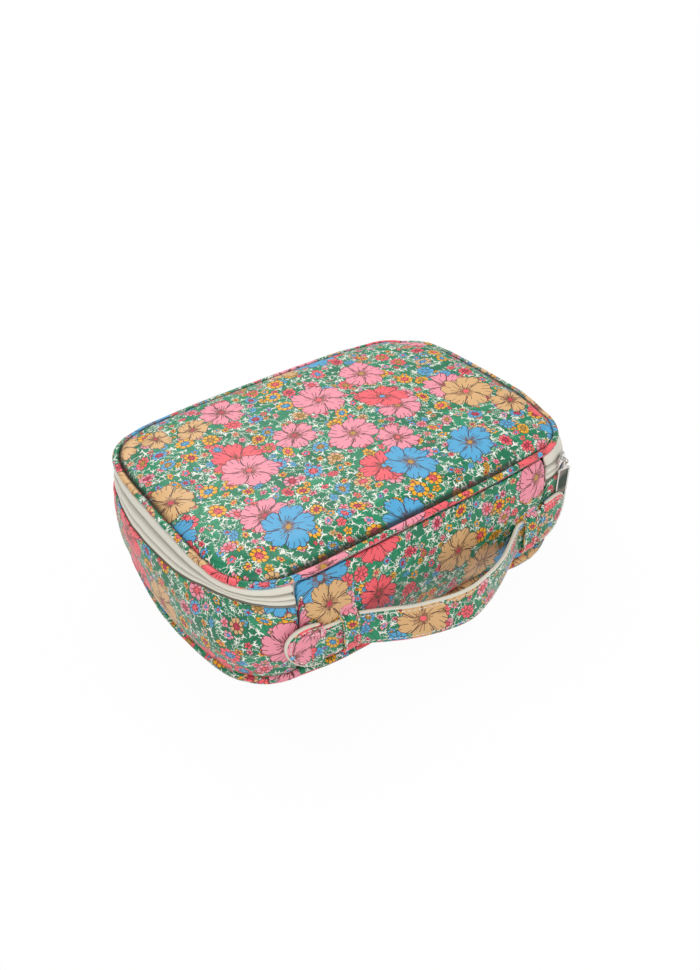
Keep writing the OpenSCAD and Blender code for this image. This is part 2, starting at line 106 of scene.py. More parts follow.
def ease(value):
    share = np.clip(value, 0, 1)
    return share * share * (3 - 2 * share)


def hump(value, centre, width):
    return np.exp(-((value - centre) / width) ** 2)


def withZero(points):
    return np.column_stack([points, np.zeros(len(points))])


# A run is the points, outward normals and lengths along a stretch of the outline, in plan
def arcRun(name, step, start=None, end=None):
    centre, radius, a0, a1 = arcs[name]
    a0 = a0 if start is None else start
    a1 = a1 if end is None else end
    count = max(2, math.ceil(radius * math.radians(abs(a1 - a0)) / step))
    angles = np.radians(np.linspace(a0, a1, count + 1))
    normals = np.stack([np.cos(angles), np.sin(angles)], 1)
    return np.array(centre) + radius * normals, normals


def frontRun(step):
    xs = np.linspace(-cornerX, cornerX, max(2, math.ceil(2 * cornerX / step)) + 1)
    return np.stack([xs, np.full_like(xs, -frontY)], 1), np.tile([0.0, -1.0], (len(xs), 1))


def joinRuns(*parts):
    points = np.concatenate([parts[0][0]] + [part[0][1:] for part in parts[1:]])
    normals = np.concatenate([parts[0][1]] + [part[1][1:] for part in parts[1:]])
    return points, normals, lengthsAlong(points)


def zipRun(step, trim=0):
    middle = [arcRun(name, step) for name in zipOrder[1:-1]]
    return joinRuns(arcRun("frontRight", step, start=-90 + trim), *middle,
                    arcRun("frontLeft", step, end=270 - trim))


def ringRun(step):
    return joinRuns(frontRun(step), *(arcRun(name, step) for name in zipOrder))


# The profile is a list of (outward, up), or a function that gives one for each point of the run
def sweepPoints(run, profile):
    rows = []
    for k, (point, normal) in enumerate(zip(*run[:2])):
        line = profile(k) if callable(profile) else profile
        rows.append(np.concatenate([point + line[:, :1] * normal, line[:, 1:2]], 1))
    return np.array(rows)


# How the sewn case departs from its pattern: [distance round the seam, outwards, up]
softShape = {
    "lid": [(0, -0.9, 0), (14, 0.2, 0), (150, 0.2, 0), (175, 0, 0), (207, 0, 0), (231, -0.4, 0), (260, 2.8, 0),
            (290, 1.8, 0), (331, 0.8, 0), (348, -1.2, -0.6), (371, -3.7, -3), (394, -2.7, -1.5), (426, -1.7, 0),
            (540, -1.6, 0), (570, -2.6, -0.3), (590, -3.5, -0.8), (604, -1.8, -0.4), (617, -1, 0), (640, 0.5, 0),
            (656, 0, 0), (672, -1.1, 0), (688, -1.5, 0), (704, -2, 0), (728, -2.2, 0), (740, -2.9, 0),
            (751, -3.8, 0), (762, -3.7, 0), (774, -2.9, 0), (784, -2.1, 0)],
    "band": [(0, 0.3, 2.5), (16, 0, 0), (262, 0, 0), (275, 1.5, 0), (331, 1.2, 0), (371, 0.6, 0), (394, 0, 0),
             (610, 0, 0), (633, 1.2, 0), (649, 3, 0), (664, 4.9, 0), (680, 5.1, 0),
             (688, 4.7, 0), (704, 3.8, 0), (712, 3, 0.2), (720, 1.8, 0.9), (728, 0.3, 2), (736, -1.6, 3.2),
             (743, -2.8, 4), (751, -3.8, 4.4), (762, -4.3, 4.4), (774, -3.2, 4), (784, -0.8, 3.2)],
    "cord": [(0, 0, 0), (120, 0, 0), (150, -0.6, 0), (175, -1.8, 0), (200, -3, 0), (215, -3, 0), (231, -1.8, 0),
             (245, -0.8, 0), (260, -0.5, 0), (331, -0.5, 0), (348, 0, 0)],
    "sill": [(0, 0, 0), (140, 0, 0), (155, 2.2, 0), (165, 3.8, 0), (178, 3.4, 0), (188, 0.6, 0), (200, -1.8, 0),
             (215, -1, 0), (231, 0, 0)],
    "bandHeights": (30, 61.7, 79), "cordHeights": (72.5, 78.5), "sillHeights": (16, 4),
    "base": [(0, -3.8, 1.2), (8, -2.6, 0.8), (18, -1.2, 0.3), (30, -0.3, 0), (45, 0, 0), (207, 0, 0),
             (231, 1.5, 0), (290, 3, 0), (348, 0, 0), (371, -3, 0.8), (394, -2, 0.4), (487, 0, 0),
             (580, -2, 0.4), (604, 0, 0.3), (629, 2.3, 0), (664, 4.5, 0), (682, 4.9, 0), (700, 4, 0),
             (724, 1.6, 0), (736, 0, 0.3), (748, -2.1, 0.8), (760, -3.7, 1.3), (782, -4, 1.4)],
    "inwardFade": 45, "lidFrom": 12, "lidOver": 52,
}


def soften(points):
    ring, normals, lengths = ringRun(4.0)
    flat, z = points[:, :2], points[:, 2]
    nearest = np.concatenate([((part[:, None, :] - ring[None]) ** 2).sum(2).argmin(1)
                              for part in np.array_split(flat, 1 + len(flat) // 4000)])
    normal, away = normals[nearest], flat - ring[nearest]
    tangent = np.stack([-normal[:, 1], normal[:, 0]], 1)
    spot = lengths[nearest] + (away * tangent).sum(1)
    fade = ease(1 + (away * normal).sum(1) / softShape["inwardFade"])
    lidShare = ease((z - softShape["lidFrom"]) / softShape["lidOver"])
    low, peak, high = softShape["bandHeights"]
    bandShare = ease(np.minimum((z - low) / (peak - low), (high - z) / (high - peak)))
    shares = {"lid": lidShare, "base": 1 - lidShare, "band": bandShare}
    for level in ("cord", "sill"):
        none, full = softShape[level + "Heights"]
        shares[level] = ease((z - none) / (full - none))
    moved = points.copy()
    for level, share in shares.items():
        keys = np.array(softShape[level])
        out, up = (np.interp(spot, keys[:, 0], keys[:, k], period=lengths[-1]) for k in (1, 2))
        moved[:, :2] += normal * (out * share * fade)[:, None]
        moved[:, 2] += up * share * fade
    return moved


def addObject(name, data):
    made = bpy.data.objects.new(name, data)
    bpy.context.scene.collection.objects.link(made)
    return made


def finishMesh(name, verts, faces, uvs, material):
    mesh = bpy.data.meshes.new(name)
    mesh.from_pydata([tuple(v) for v in np.asarray(verts, float) * mm], [], faces)
    layer = mesh.uv_layers.new(name="UVMap")
    layer.data.foreach_set("uv", (np.asarray(uvs, float) * mm).astype(np.float32).ravel())
    mesh.validate()
    bm = bmesh.new()
    bm.from_mesh(mesh)
    bmesh.ops.remove_doubles(bm, verts=bm.verts, dist=1e-6)
    bmesh.ops.recalc_face_normals(bm, faces=bm.faces)
    bm.to_mesh(mesh)
    bm.free()
    mesh.polygons.foreach_set("use_smooth", [True] * len(mesh.polygons))
    mesh.materials.append(material)
    return addObject(name, mesh)


# Painted shade: the cloth's colour is darkened along seams, grooves and undersides, where shade falls
def paintShade(piece, shade):
    values = piece.data.attributes.new("paintedShade", "FLOAT", "POINT")
    values.data.foreach_set("value", np.resize(np.asarray(shade, np.float32), len(piece.data.vertices)))


def gridFaces(n, m, wrapU, wrapV, first=0):
    faces = []
    for i in range(n if wrapU else n - 1):
        for j in range(m if wrapV else m - 1):
            i2, j2 = (i + 1) % n, (j + 1) % m
            faces.append([first + row * m + spot for row, spot in ((i, j), (i2, j), (i2, j2), (i, j2))])
    return faces


def gridUvs(u, v):
    return [(u[i + a], v[j + b]) for i in range(len(u) - 1) for j in range(len(v) - 1)
            for a, b in ((0, 0), (1, 0), (1, 1), (0, 1))]


# A tube of n rings with m points each; v has one more value than a ring has points
def gridPiece(name, coords, u, v, material, wrapU=False, caps=True):
    n, m = coords.shape[:2]
    faces, uvs = gridFaces(n, m, wrapU, True), gridUvs(u, v)
    for i in (0, n - 1) if caps else ():
        faces.append([i * m + j for j in range(m)])
        uvs += [(u[i], v[j]) for j in range(m)]
    return finishMesh(name, coords.reshape(-1, 3), faces, uvs, material)


def sweepPiece(name, run, profile, material, closedRun=False, shift=0, caps=True, soft=True):
    coords = sweepPoints(run, profile)
    if soft:
        coords = soften(coords.reshape(-1, 3)).reshape(coords.shape)
    if closedRun:
        coords = coords[:-1]
    line = profile(0) if callable(profile) else profile
    return gridPiece(name, coords, run[2] + shift, lengthsAlong(line, True), material, closedRun,
                     caps and not closedRun)


def moveVerts(piece, moved):
    piece.data.vertices.foreach_set("co", (moved * mm).astype(np.float32).ravel())
    piece.data.update()


def vertsOf(piece):
    co = np.empty(len(piece.data.vertices) * 3, np.float32)
    piece.data.vertices.foreach_get("co", co)
    return co.reshape(-1, 3).astype(float) / mm


def waves(points, size, seed):
    return np.array([noise.noise(Vector(p / size) + Vector((seed, seed * 1.7, 0))) for p in points])


def smoothEdges(piece):
    subdivide = piece.modifiers.new("Subdivision", "SUBSURF")
    subdivide.levels = subdivide.render_levels = 1


def settle(piece, body, slot, *nodes):
    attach(piece, body)
    if nodes:
        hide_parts(*nodes)


paddingCloth = {"quality": 6, "mass": 0.25, "tension_stiffness": 18, "compression_stiffness": 18,
                "bending_stiffness": 0.6, "air_damping": 4, "shrink_min": -0.01}
paddingFrames = 20


# Padding: the free verts swell under pressure while the sewn edges stay held
def puffPadding(piece, held, pressure, cap):
    start = vertsOf(piece)
    group = piece.vertex_groups.new(name="sewn")
    for index in np.nonzero(held > 0)[0]:
        group.add([int(index)], float(held[index]), "REPLACE")
    cloth = piece.modifiers.new("Padding", "CLOTH")
    for key, value in paddingCloth.items():
        setattr(cloth.settings, key, value)
    cloth.settings.use_pressure = True
    cloth.settings.uniform_pressure_force = pressure
    cloth.settings.vertex_group_mass = group.name
    cloth.settings.effector_weights.gravity = 0
    cloth.collision_settings.use_collision = False
    cloth.point_cache.frame_start, cloth.point_cache.frame_end = 1, paddingFrames
    scene = bpy.context.scene
    for number in range(1, paddingFrames + 1):
        scene.frame_set(number)
    move = vertsOf(piece.evaluated_get(bpy.context.evaluated_depsgraph_get())) - start
    size = np.linalg.norm(move, axis=1)
    move *= np.minimum(1, cap / np.maximum(size, 1e-6))[:, None]
    piece.modifiers.remove(cloth)
    scene.frame_set(1)
    moveVerts(piece, start + move)
    print(f"{piece.name}: padding swelled by up to {size.max():.2f} mm")


def addNode(tree, kind, inputs=None, **settings):
    node = tree.nodes.new(kind)
    node.location = (180 * (len(tree.nodes) // 8), -220 * (len(tree.nodes) % 8))
    for name, value in settings.items():
        setattr(node, name, value)
    for key, value in (inputs or {}).items():
        if isinstance(value, bpy.types.NodeSocket):
            tree.links.new(value, node.inputs[key])
        else:
            node.inputs[key].default_value = value
    return node


# The short helpers below work in the node tree of the sockets that they are given
def treeOf(values):
    return next(value.id_data for value in values if isinstance(value, bpy.types.NodeSocket))


def calc(operation, *values):
    return addNode(treeOf(values), "ShaderNodeMath", dict(enumerate(values)), operation=operation).outputs[0]


def times(first, *others):
    for other in others:
        first = calc("MULTIPLY", first, other)
    return first


def plus(a, b):
    return calc("ADD", a, b)


def minus(a, b):
    return calc("SUBTRACT", a, b)


def over(a, b):
    return calc("DIVIDE", a, b)


def fromMiddle(value):   # how far a number's fraction is from a half
    return calc("ABSOLUTE", minus(calc("FRACT", value), 0.5))


def band(value, low, high, first=0.0, last=1.0):
    return addNode(value.id_data, "ShaderNodeMapRange", {"Value": value, "From Min": low, "From Max": high,
                   "To Min": first, "To Max": last}).outputs[0]


def fade(value, low, high):
    return minus(1.0, band(value, low, high))


def mixColor(factor, a, b):
    return addNode(treeOf((factor, a, b)), "ShaderNodeMix", {0: factor, 6: a, 7: b}, data_type="RGBA").outputs[2]


def vectorCalc(operation, a, b):
    return addNode(treeOf((a, b)), "ShaderNodeVectorMath", {0: a, 1: b}, operation=operation).outputs[0]


def scaled(vector, scale):
    return addNode(vector.id_data, "ShaderNodeVectorMath", {0: vector, "Scale": scale}, operation="SCALE").outputs[0]


def vectorLength(vector):
    return addNode(vector.id_data, "ShaderNodeVectorMath", {0: vector}, operation="LENGTH").outputs["Value"]


def splitVector(vector):
    return addNode(vector.id_data, "ShaderNodeSeparateXYZ", {"Vector": vector}).outputs


def noiseAt(vector, scale, detail, roughness=0.5, **settings):
    return addNode(vector.id_data, "ShaderNodeTexNoise", {"Vector": vector, "Scale": scale, "Detail": detail,
                   "Roughness": roughness}, **settings).outputs


def cellsAt(vector, scale, scatter, feature="F1"):
    return addNode(vector.id_data, "ShaderNodeTexVoronoi", {"Vector": vector, "Scale": scale,
                   "Randomness": scatter}, voronoi_dimensions="2D", feature=feature).outputs


def diceAt(number):
    return addNode(number.id_data, "ShaderNodeTexWhiteNoise", {"W": number}, noise_dimensions="1D").outputs["Value"]


def srgb(code):
    parts = [int(code[k:k + 2], 16) / 255 for k in (1, 3, 5)]
    return tuple(p / 12.92 if p <= 0.04045 else ((p + 0.055) / 1.055) ** 2.4 for p in parts) + (1.0,)


def palette(pick, colours):
    node = addNode(pick.id_data, "ShaderNodeValToRGB", {"Fac": pick})
    node.color_ramp.interpolation = "CONSTANT"
    steps = node.color_ramp.elements
    while len(steps) < len(colours):
        steps.new(0.5)
    for k, (place, name) in enumerate(colours):
        steps[k].position = place
        steps[k].color = srgb(printColours[name])
    return node.outputs[0]


# Every group takes a Vector first, and then numbers with the given starting values
def openGroup(name, **inputs):
    tree = bpy.data.node_groups.new(name, "ShaderNodeTree")
    tree.interface.new_socket(name="Vector", in_out="INPUT", socket_type="NodeSocketVector")
    for label, value in inputs.items():
        socket = tree.interface.new_socket(name=label, in_out="INPUT", socket_type="NodeSocketFloat")
        socket.default_value = value
    return tree, tree.nodes.new("NodeGroupInput").outputs


def closeGroup(tree, **results):
    kinds = {"VALUE": "NodeSocketFloat", "VECTOR": "NodeSocketVector", "RGBA": "NodeSocketColor"}
    for label, value in results.items():
        tree.interface.new_socket(name=label, in_out="OUTPUT", socket_type=kinds[value.type])
    end = tree.nodes.new("NodeGroupOutput")
    for label, value in results.items():
        tree.links.new(value, end.inputs[label])
    return tree


def useGroup(group, **values):
    return addNode(values["Vector"].id_data, "ShaderNodeGroup", values, node_tree=group).outputs


# One scattered motif per cell: its own centre, turn and tilt, in millimetres
def buildCellGroup():
    tree, g = openGroup("motifCell", Cell=20.0, Scatter=0.7, Tilt=0.3)
    scale = over(1.0, g["Cell"])
    cell = cellsAt(g["Vector"], scale, g["Scatter"])
    room = cellsAt(g["Vector"], scale, g["Scatter"], "N_SPHERE_RADIUS")
    luck = addNode(tree, "ShaderNodeSeparateColor", {"Color": cell["Color"]}).outputs
    local = vectorCalc("SUBTRACT", g["Vector"], cell["Position"])
    turned = addNode(tree, "ShaderNodeVectorRotate", {"Vector": local, "Angle": times(luck[0], 2 * math.pi)},
                     rotation_type="Z_AXIS")
    x, y = splitVector(turned.outputs[0])[:2]
    x = over(x, minus(1.0, times(luck[1], g["Tilt"])))
    flat = addNode(tree, "ShaderNodeCombineXYZ", {"X": x, "Y": y}).outputs[0]
    return closeGroup(tree, Local=flat, Radius=vectorLength(flat), Angle=calc("ARCTAN2", y, x),
                      Room=times(room["Radius"], g["Cell"]), Pick=luck[2],
                      Pick2=calc("FRACT", times(luck[1], 7.13)))


flowerShape = {"leastSize": 0.85, "sizeSpread": 0.25, "roomUsed": 1.12, "reach": 0.96, "borderFrom": (0.3, 0.34),
               "veinsPerPetal": 5, "outerVein": (0.62, 0.34), "innerVein": (0.28, 0.3),
               "stamensPerPetal": 6, "stamenReach": (0.17, 0.18), "stem": (0.1, 0.26), "anther": (0.34, 0.5)}


# A flower with notched, ruffled petals, outlined and veined in thin dark lines
def buildFlowerGroup(cellGroup):
    f = flowerShape
    tree, g = openGroup("flower", Cell=50.0, Scatter=0.7, Size=19.0, Petals=5.0, Lobe=0.35, Notch=0.1, Ruffle=0.06,
                        Line=0.3, Veins=1.0, Swirl=0.3, Tilt=0.3)
    cell = useGroup(cellGroup, Vector=g["Vector"], Cell=g["Cell"], Scatter=g["Scatter"], Tilt=g["Tilt"])
    radius, pick, line = cell["Radius"], cell["Pick"], g["Line"]
    wanted = times(g["Size"], plus(f["leastSize"], times(cell["Pick2"], f["sizeSpread"])))
    size = calc("MINIMUM", wanted, times(cell["Room"], f["roomUsed"]))
    share = over(radius, size)
    angle = plus(cell["Angle"], times(share, g["Swirl"]))
    turns = times(plus(over(angle, 2 * math.pi), 2.0), g["Petals"])
    phi = times(fromMiddle(turns), 2.0)   # 0 in the middle of a petal, 1 between two
    lobe = times(g["Lobe"], calc("POWER", phi, 3.0))
    notch = times(g["Notch"], fade(phi, 0.0, 0.28))
    spin = addNode(tree, "ShaderNodeCombineXYZ", {
        "X": calc("COSINE", angle), "Y": calc("SINE", angle), "Z": times(pick, 9.0)})
    ruffle = noiseAt(spin.outputs[0], 3.6, 2.0)[0]
    wobble = times(minus(ruffle, 0.5), times(g["Ruffle"], 4.0))
    edge = minus(plus(f["reach"], wobble), plus(lobe, notch))
    gapToEdge = times(minus(edge, share), size)
    shape = band(gapToEdge, -0.06, 0.06)
    outline = fade(gapToEdge, line, plus(line, 0.1))

    def acrossRays(perPetal):   # distance to the nearest of the rays, and a number for each ray
        rays = times(turns, perPetal)
        distance = times(fromMiddle(rays), over(times(radius, 2 * math.pi / perPetal), g["Petals"]))
        return distance, calc("FLOOR", rays)

    toBorder = times(minus(1.0, phi), over(times(radius, math.pi), g["Petals"]))
    border = times(band(share, *f["borderFrom"]), fade(toBorder, times(line, 0.5), plus(line, 0.05)))
    toVein, strip = acrossRays(f["veinsPerPetal"])
    luck = diceAt(plus(strip, times(pick, 50.0)))
    (outerFrom, outerSpread), (innerTo, innerSpread) = f["outerVein"], f["innerVein"]
    outer = calc("GREATER_THAN", over(share, edge), plus(outerFrom, times(luck, outerSpread)))
    inner = times(calc("LESS_THAN", share, plus(innerTo, times(luck, innerSpread))),
                  calc("GREATER_THAN", luck, 0.5))
    veins = times(fade(toVein, times(line, 0.22), times(line, 0.6)), g["Veins"], calc("MAXIMUM", outer, inner))
    lines = times(calc("MAXIMUM", outline, calc("MAXIMUM", border, veins)), shape)
    toStem, spray = acrossRays(f["stamensPerPetal"])
    reach, reachSpread = f["stamenReach"]
    tip = plus(reach, times(diceAt(plus(spray, times(pick, 90.0))), reachSpread))
    stem = times(calc("LESS_THAN", share, tip), fade(toStem, *f["stem"]))
    toTip = times(minus(share, tip), size)
    anther = fade(calc("SQRT", plus(times(toTip, toTip), times(toStem, toStem))), *f["anther"])
    stamens = times(calc("MAXIMUM", stem, anther), band(share, 0.06, 0.09))
    return closeGroup(tree, Shape=shape, Lines=lines, Core=share, Stamens=stamens, Pick=pick, Pick2=cell["Pick2"],
                      Local=cell["Local"])


# A sprig of pointed leaflets: one on the stem line and a pair at its sides
def buildLeafGroup(cellGroup):
    tree, g = openGroup("leafSprig", Cell=10.0, Scatter=0.9, Length=6.0, Width=2.0, Spread=0.7, Gap=0.4)
    cell = useGroup(cellGroup, Vector=g["Vector"], Cell=g["Cell"], Scatter=g["Scatter"], Tilt=0.1)
    along, across = splitVector(cell["Local"])[:2]
    across = calc("ABSOLUTE", across)

    def leaflet(u, v, size):
        share = over(u, times(g["Length"], size))
        room = minus(1.0, times(share, share))
        teeth = plus(0.86, times(calc("SINE", times(u, 3.4)), 0.14))
        toRib = calc("ABSOLUTE", v)
        return minus(times(g["Width"], size, times(room, teeth)), toRib), toRib

    main, toRib = leaflet(along, across, 1.0)
    cos, sin = calc("COSINE", g["Spread"]), calc("SINE", g["Spread"])
    sideU = plus(times(along, cos), times(across, sin))
    sideV = minus(times(across, cos), times(along, sin))
    pair, toSideRib = leaflet(minus(sideU, times(g["Length"], 0.62)), sideV, 0.72)
    inside = calc("MAXIMUM", main, pair)
    shape = band(inside, -0.05, 0.05)
    halo = band(inside, times(g["Gap"], -1.0), minus(0.1, g["Gap"]))
    rib = fade(calc("MINIMUM", toRib, toSideRib), 0.08, 0.22)
    return closeGroup(tree, Shape=shape, Halo=halo, Rib=times(rib, shape), Pick=cell["Pick"])


printColours = {
    "ground": "#f1efe4", "leafDark": "#15744f", "leafLight": "#269468", "leafRib": "#0f5c40",
    "ink": "#43161f", "stamen": "#7d4a34", "pollen": "#c2953f",
    "coral": "#f9636c", "pink": "#f497a8", "blue": "#54abd8", "tan": "#dfb27b", "yellow": "#f6b023",
    "rose": "#cc3a52",
}


# Each colour and the pick, from 0 to 1, at which it starts
petalColours = {
    "hearts": ((0.0, "rose"), (0.3, "pollen"), (0.55, "coral"), (0.78, "blue")),
    "small": ((0.0, "pink"), (0.25, "blue"), (0.45, "coral"), (0.68, "yellow"), (0.88, "tan")),
    "daisies": ((0.0, "yellow"), (0.3, "pink"), (0.5, "blue"), (0.68, "coral"), (0.86, "tan")),
    "large": ((0.0, "coral"), (0.27, "blue"), (0.54, "pink"), (0.78, "tan")),
}

# Each layer's shift in millimetres, for flowers also the colours, heart size and speckle, then its group's values
printLayers = {
    "leaves": [(31, 47, dict(Cell=7.5, Scatter=1.0, Length=5.0, Width=1.8, Spread=0.75, Gap=0.32)),
               (211, 17, dict(Cell=12.0, Scatter=0.95, Length=7.6, Width=3.1, Spread=0.6, Gap=0.36)),
               (59, 311, dict(Cell=18.0, Scatter=0.9, Length=12.0, Width=5.6, Spread=0.62, Gap=0.42))],
    "slivers": [(23, 607, dict(Cell=5.6, Scatter=1.0, Length=1.6, Width=0.4, Spread=0.8)),
                (509, 29, dict(Cell=10.5, Scatter=1.0, Length=2.6, Width=0.6, Spread=0.8))],
    "flowers": [
        (17, 91, "small", 0.36, 1.3, dict(Cell=8.8, Scatter=0.85, Size=3.2, Petals=5.0, Lobe=0.5, Notch=0.0,
                                          Ruffle=0.02, Line=0.3, Veins=0.0, Swirl=0.0, Tilt=0.4)),
        (301, 43, "daisies", 0.42, 0.95, dict(Cell=16.5, Scatter=0.8, Size=6.4, Petals=8.0, Lobe=0.32, Notch=0.06,
                                              Ruffle=0.05, Line=0.4, Veins=0.0, Swirl=0.0, Tilt=0.4)),
        (5, 137, "large", 0.09, 0, dict(Cell=57.0, Scatter=0.8, Size=18.5, Petals=6.0, Lobe=0.3, Notch=0.12,
                                        Ruffle=0.07, Line=0.5, Veins=1.0, Swirl=0.1, Tilt=0.3)),
        (719, 433, "large", 0.09, 0, dict(Cell=56.0, Scatter=0.7, Size=19.5, Petals=5.0, Lobe=0.24, Notch=0.1,
                                          Ruffle=0.09, Line=0.5, Veins=1.0, Swirl=0.35, Tilt=0.32))],
}


# The cloth's whole print, laid in layers from the ground up
def buildPrintGroup(flowerGroup, leafGroup):
    c = {key: srgb(code) for key, code in printColours.items()}
    tree, g = openGroup("gardenPrint")
    flat = scaled(g["Vector"], 1 / mm)
    drift = noiseAt(flat, 0.16, 2.0, noise_dimensions="2D")["Color"]
    base = vectorCalc("ADD", flat, scaled(vectorCalc("SUBTRACT", drift, (0.5, 0.5, 0.5)), 1.6))

    def shifted(x, y):
        return vectorCalc("ADD", base, (x, y, 0.0))

    colour = c["leafDark"]
    for x, y, values in printLayers["leaves"]:
        leaf = useGroup(leafGroup, Vector=shifted(x, y), **values)
        green = mixColor(leaf["Rib"], mixColor(leaf["Pick"], c["leafDark"], c["leafLight"]), c["leafRib"])
        colour = mixColor(leaf["Shape"], mixColor(leaf["Halo"], colour, c["ground"]), green)
    for x, y, values in printLayers["slivers"]:
        sliver = useGroup(leafGroup, Vector=shifted(x, y), **values)
        colour = mixColor(sliver["Shape"], colour, c["ground"])
    for x, y, petals, heartSize, speckle, values in printLayers["flowers"]:
        flower = useGroup(flowerGroup, Vector=shifted(x, y), **values)
        heart = palette(flower["Pick2"], petalColours["hearts"])
        petal = mixColor(flower["Lines"], palette(flower["Pick"], petalColours[petals]), c["ink"])
        if values["Veins"]:
            petal = mixColor(flower["Stamens"], petal, c["stamen"])
            inner = fade(flower["Core"], heartSize, heartSize + 0.02)
        else:
            seeds = fade(cellsAt(flower["Local"], speckle, 1.0)["Distance"], 0.28, 0.45)
            ring = fade(flower["Core"], heartSize, heartSize * 1.15)
            petal = mixColor(times(ring, seeds), mixColor(ring, petal, heart), c["ink"])
            inner = fade(flower["Core"], heartSize * 0.3, heartSize * 0.45)
        colour = mixColor(flower["Shape"], colour, mixColor(inner, petal, heart))
    return closeGroup(tree, Color=colour)


# Crossed threads, as a height
def buildWeaveGroup():
    tree, g = openGroup("weave", Pitch=0.45)
    parts = splitVector(scaled(g["Vector"], 2 * math.pi / mm))
    warp, weft = (calc("SINE", over(parts[k], g["Pitch"])) for k in (0, 1))
    return closeGroup(tree, Height=plus(0.5, times(warp, weft, 0.5)))


# Soft uneven dents and handling marks, as a height and a roughness change
def buildHandlingGroup():
    tree, g = openGroup("handling", Size=12.0)
    flat = scaled(g["Vector"], 1 / mm)
    scale = over(1.0, g["Size"])
    return closeGroup(tree, Height=noiseAt(flat, scale, 3.0)[0],
                      Gloss=noiseAt(flat, times(scale, 5.0), 4.0, roughness=0.6)[0])


cellGroup = buildCellGroup()
flowerGroup = buildFlowerGroup(cellGroup)
leafGroup = buildLeafGroup(cellGroup)
printGroup = buildPrintGroup(flowerGroup, leafGroup)
weaveGroup = buildWeaveGroup()
handlingGroup = buildHandlingGroup()
print("shader groups: built")


def newMaterial(name, **principled):
    material = bpy.data.materials.new(name)
    material.use_nodes = True
    tree = material.node_tree
    shader = tree.nodes["Principled BSDF"]
    for key, value in principled.items():
        shader.inputs[key.replace("_", " ")].default_value = value
    return material, tree, shader


def addBump(shader, height, strength, distance):
    bump = addNode(height.id_data, "ShaderNodeBump", {"Height": height, "Strength": strength, "Distance": distance})
    height.id_data.links.new(bump.outputs[0], shader.inputs["Normal"])


# The dark print and plain colours here are painted shade colours, mixed in at seams, grooves and undersides
clothFinish = {"threadHeight": 0.05, "dentSize": 12.0, "handled": (0.3, 0.7), "printShadeColour": "#241a15",
               "plainShadeColour": "#5d5648", "printPitch": 0.42, "printBump": 0.35, "coat": 0.06, "coatRoughness": 0.3,
               "specular": 0.35, "printRough": (0.38, 0.5)}


def finishCloth(shader, vector, color, shadeCode, pitch, bump, dent, rough):
    tree = vector.id_data
    weave = useGroup(weaveGroup, Vector=vector, Pitch=pitch)
    handling = useGroup(handlingGroup, Vector=vector, Size=clothFinish["dentSize"])
    height = plus(times(weave["Height"], clothFinish["threadHeight"]), times(handling["Height"], dent))
    addBump(shader, height, bump, 1.0 * mm)
    # painted shade: a per-vertex shade attribute mixes the cloth colour towards a dark shade colour
    seam = addNode(tree, "ShaderNodeAttribute", attribute_name="paintedShade").outputs["Fac"]
    tree.links.new(mixColor(seam, color, srgb(shadeCode)), shader.inputs["Base Color"])
    tree.links.new(band(handling["Gloss"], *clothFinish["handled"], *rough), shader.inputs["Roughness"])


def uvVector(tree, angle=0.0, shift=(0, 0)):
    uv = addNode(tree, "ShaderNodeUVMap", uv_map="UVMap")
    return addNode(tree, "ShaderNodeMapping", {"Vector": uv.outputs[0], "Rotation": (0, 0, math.radians(angle)),
                   "Location": (shift[0] * mm, shift[1] * mm, 0)}).outputs[0]


def printMaterial(name, angle, shift, dent=0.3):
    f = clothFinish
    material, tree, shader = newMaterial(name, Coat_Weight=f["coat"], Coat_Roughness=f["coatRoughness"],
                                         Specular_IOR_Level=f["specular"])
    vector = uvVector(tree, angle, shift)
    color = useGroup(printGroup, Vector=vector)["Color"]
    finishCloth(shader, vector, color, f["printShadeColour"], f["printPitch"], f["printBump"], dent, f["printRough"])
    return material


def plainCloth(name, code, pitch, bump, rough=(0.5, 0.65), coat=0.0, speck=0.03):
    material, tree, shader = newMaterial(name, Coat_Weight=coat)
    vector = uvVector(tree)
    specks = useGroup(handlingGroup, Vector=vector, Size=3.0)["Gloss"]
    color = mixColor(times(specks, speck), srgb(code), (0.25, 0.2, 0.16, 1))
    finishCloth(shader, vector, color, clothFinish["plainShadeColour"], pitch, bump, 0.3, rough)
    return material


# Noise scales are per metre, and each band is the part of the noise that shows
metalFinish = {"paintedReflection": 110.0, "reflectionBand": (0.4, 0.62), "fine": 900.0, "fineBand": (0.35, 0.7), "bump": 0.05}


def metalMaterial(name, code, rough=(0.08, 0.2), paintedReflection=None):
    f = metalFinish
    material, tree, shader = newMaterial(name, Metallic=1.0, Base_Color=srgb(code))
    place = addNode(tree, "ShaderNodeTexCoord").outputs["Object"]
    if paintedReflection:
        # painted reflection: the dark base colour is blotched with a lighter brownish grey
        share = band(noiseAt(place, f["paintedReflection"], 1.0)[0], *f["reflectionBand"])
        tree.links.new(mixColor(share, srgb(code), srgb(paintedReflection)), shader.inputs["Base Color"])
    fine = noiseAt(place, f["fine"], 3.0)[0]
    tree.links.new(band(fine, *f["fineBand"], *rough), shader.inputs["Roughness"])
    addBump(shader, fine, f["bump"], 0.2 * mm)
    return material


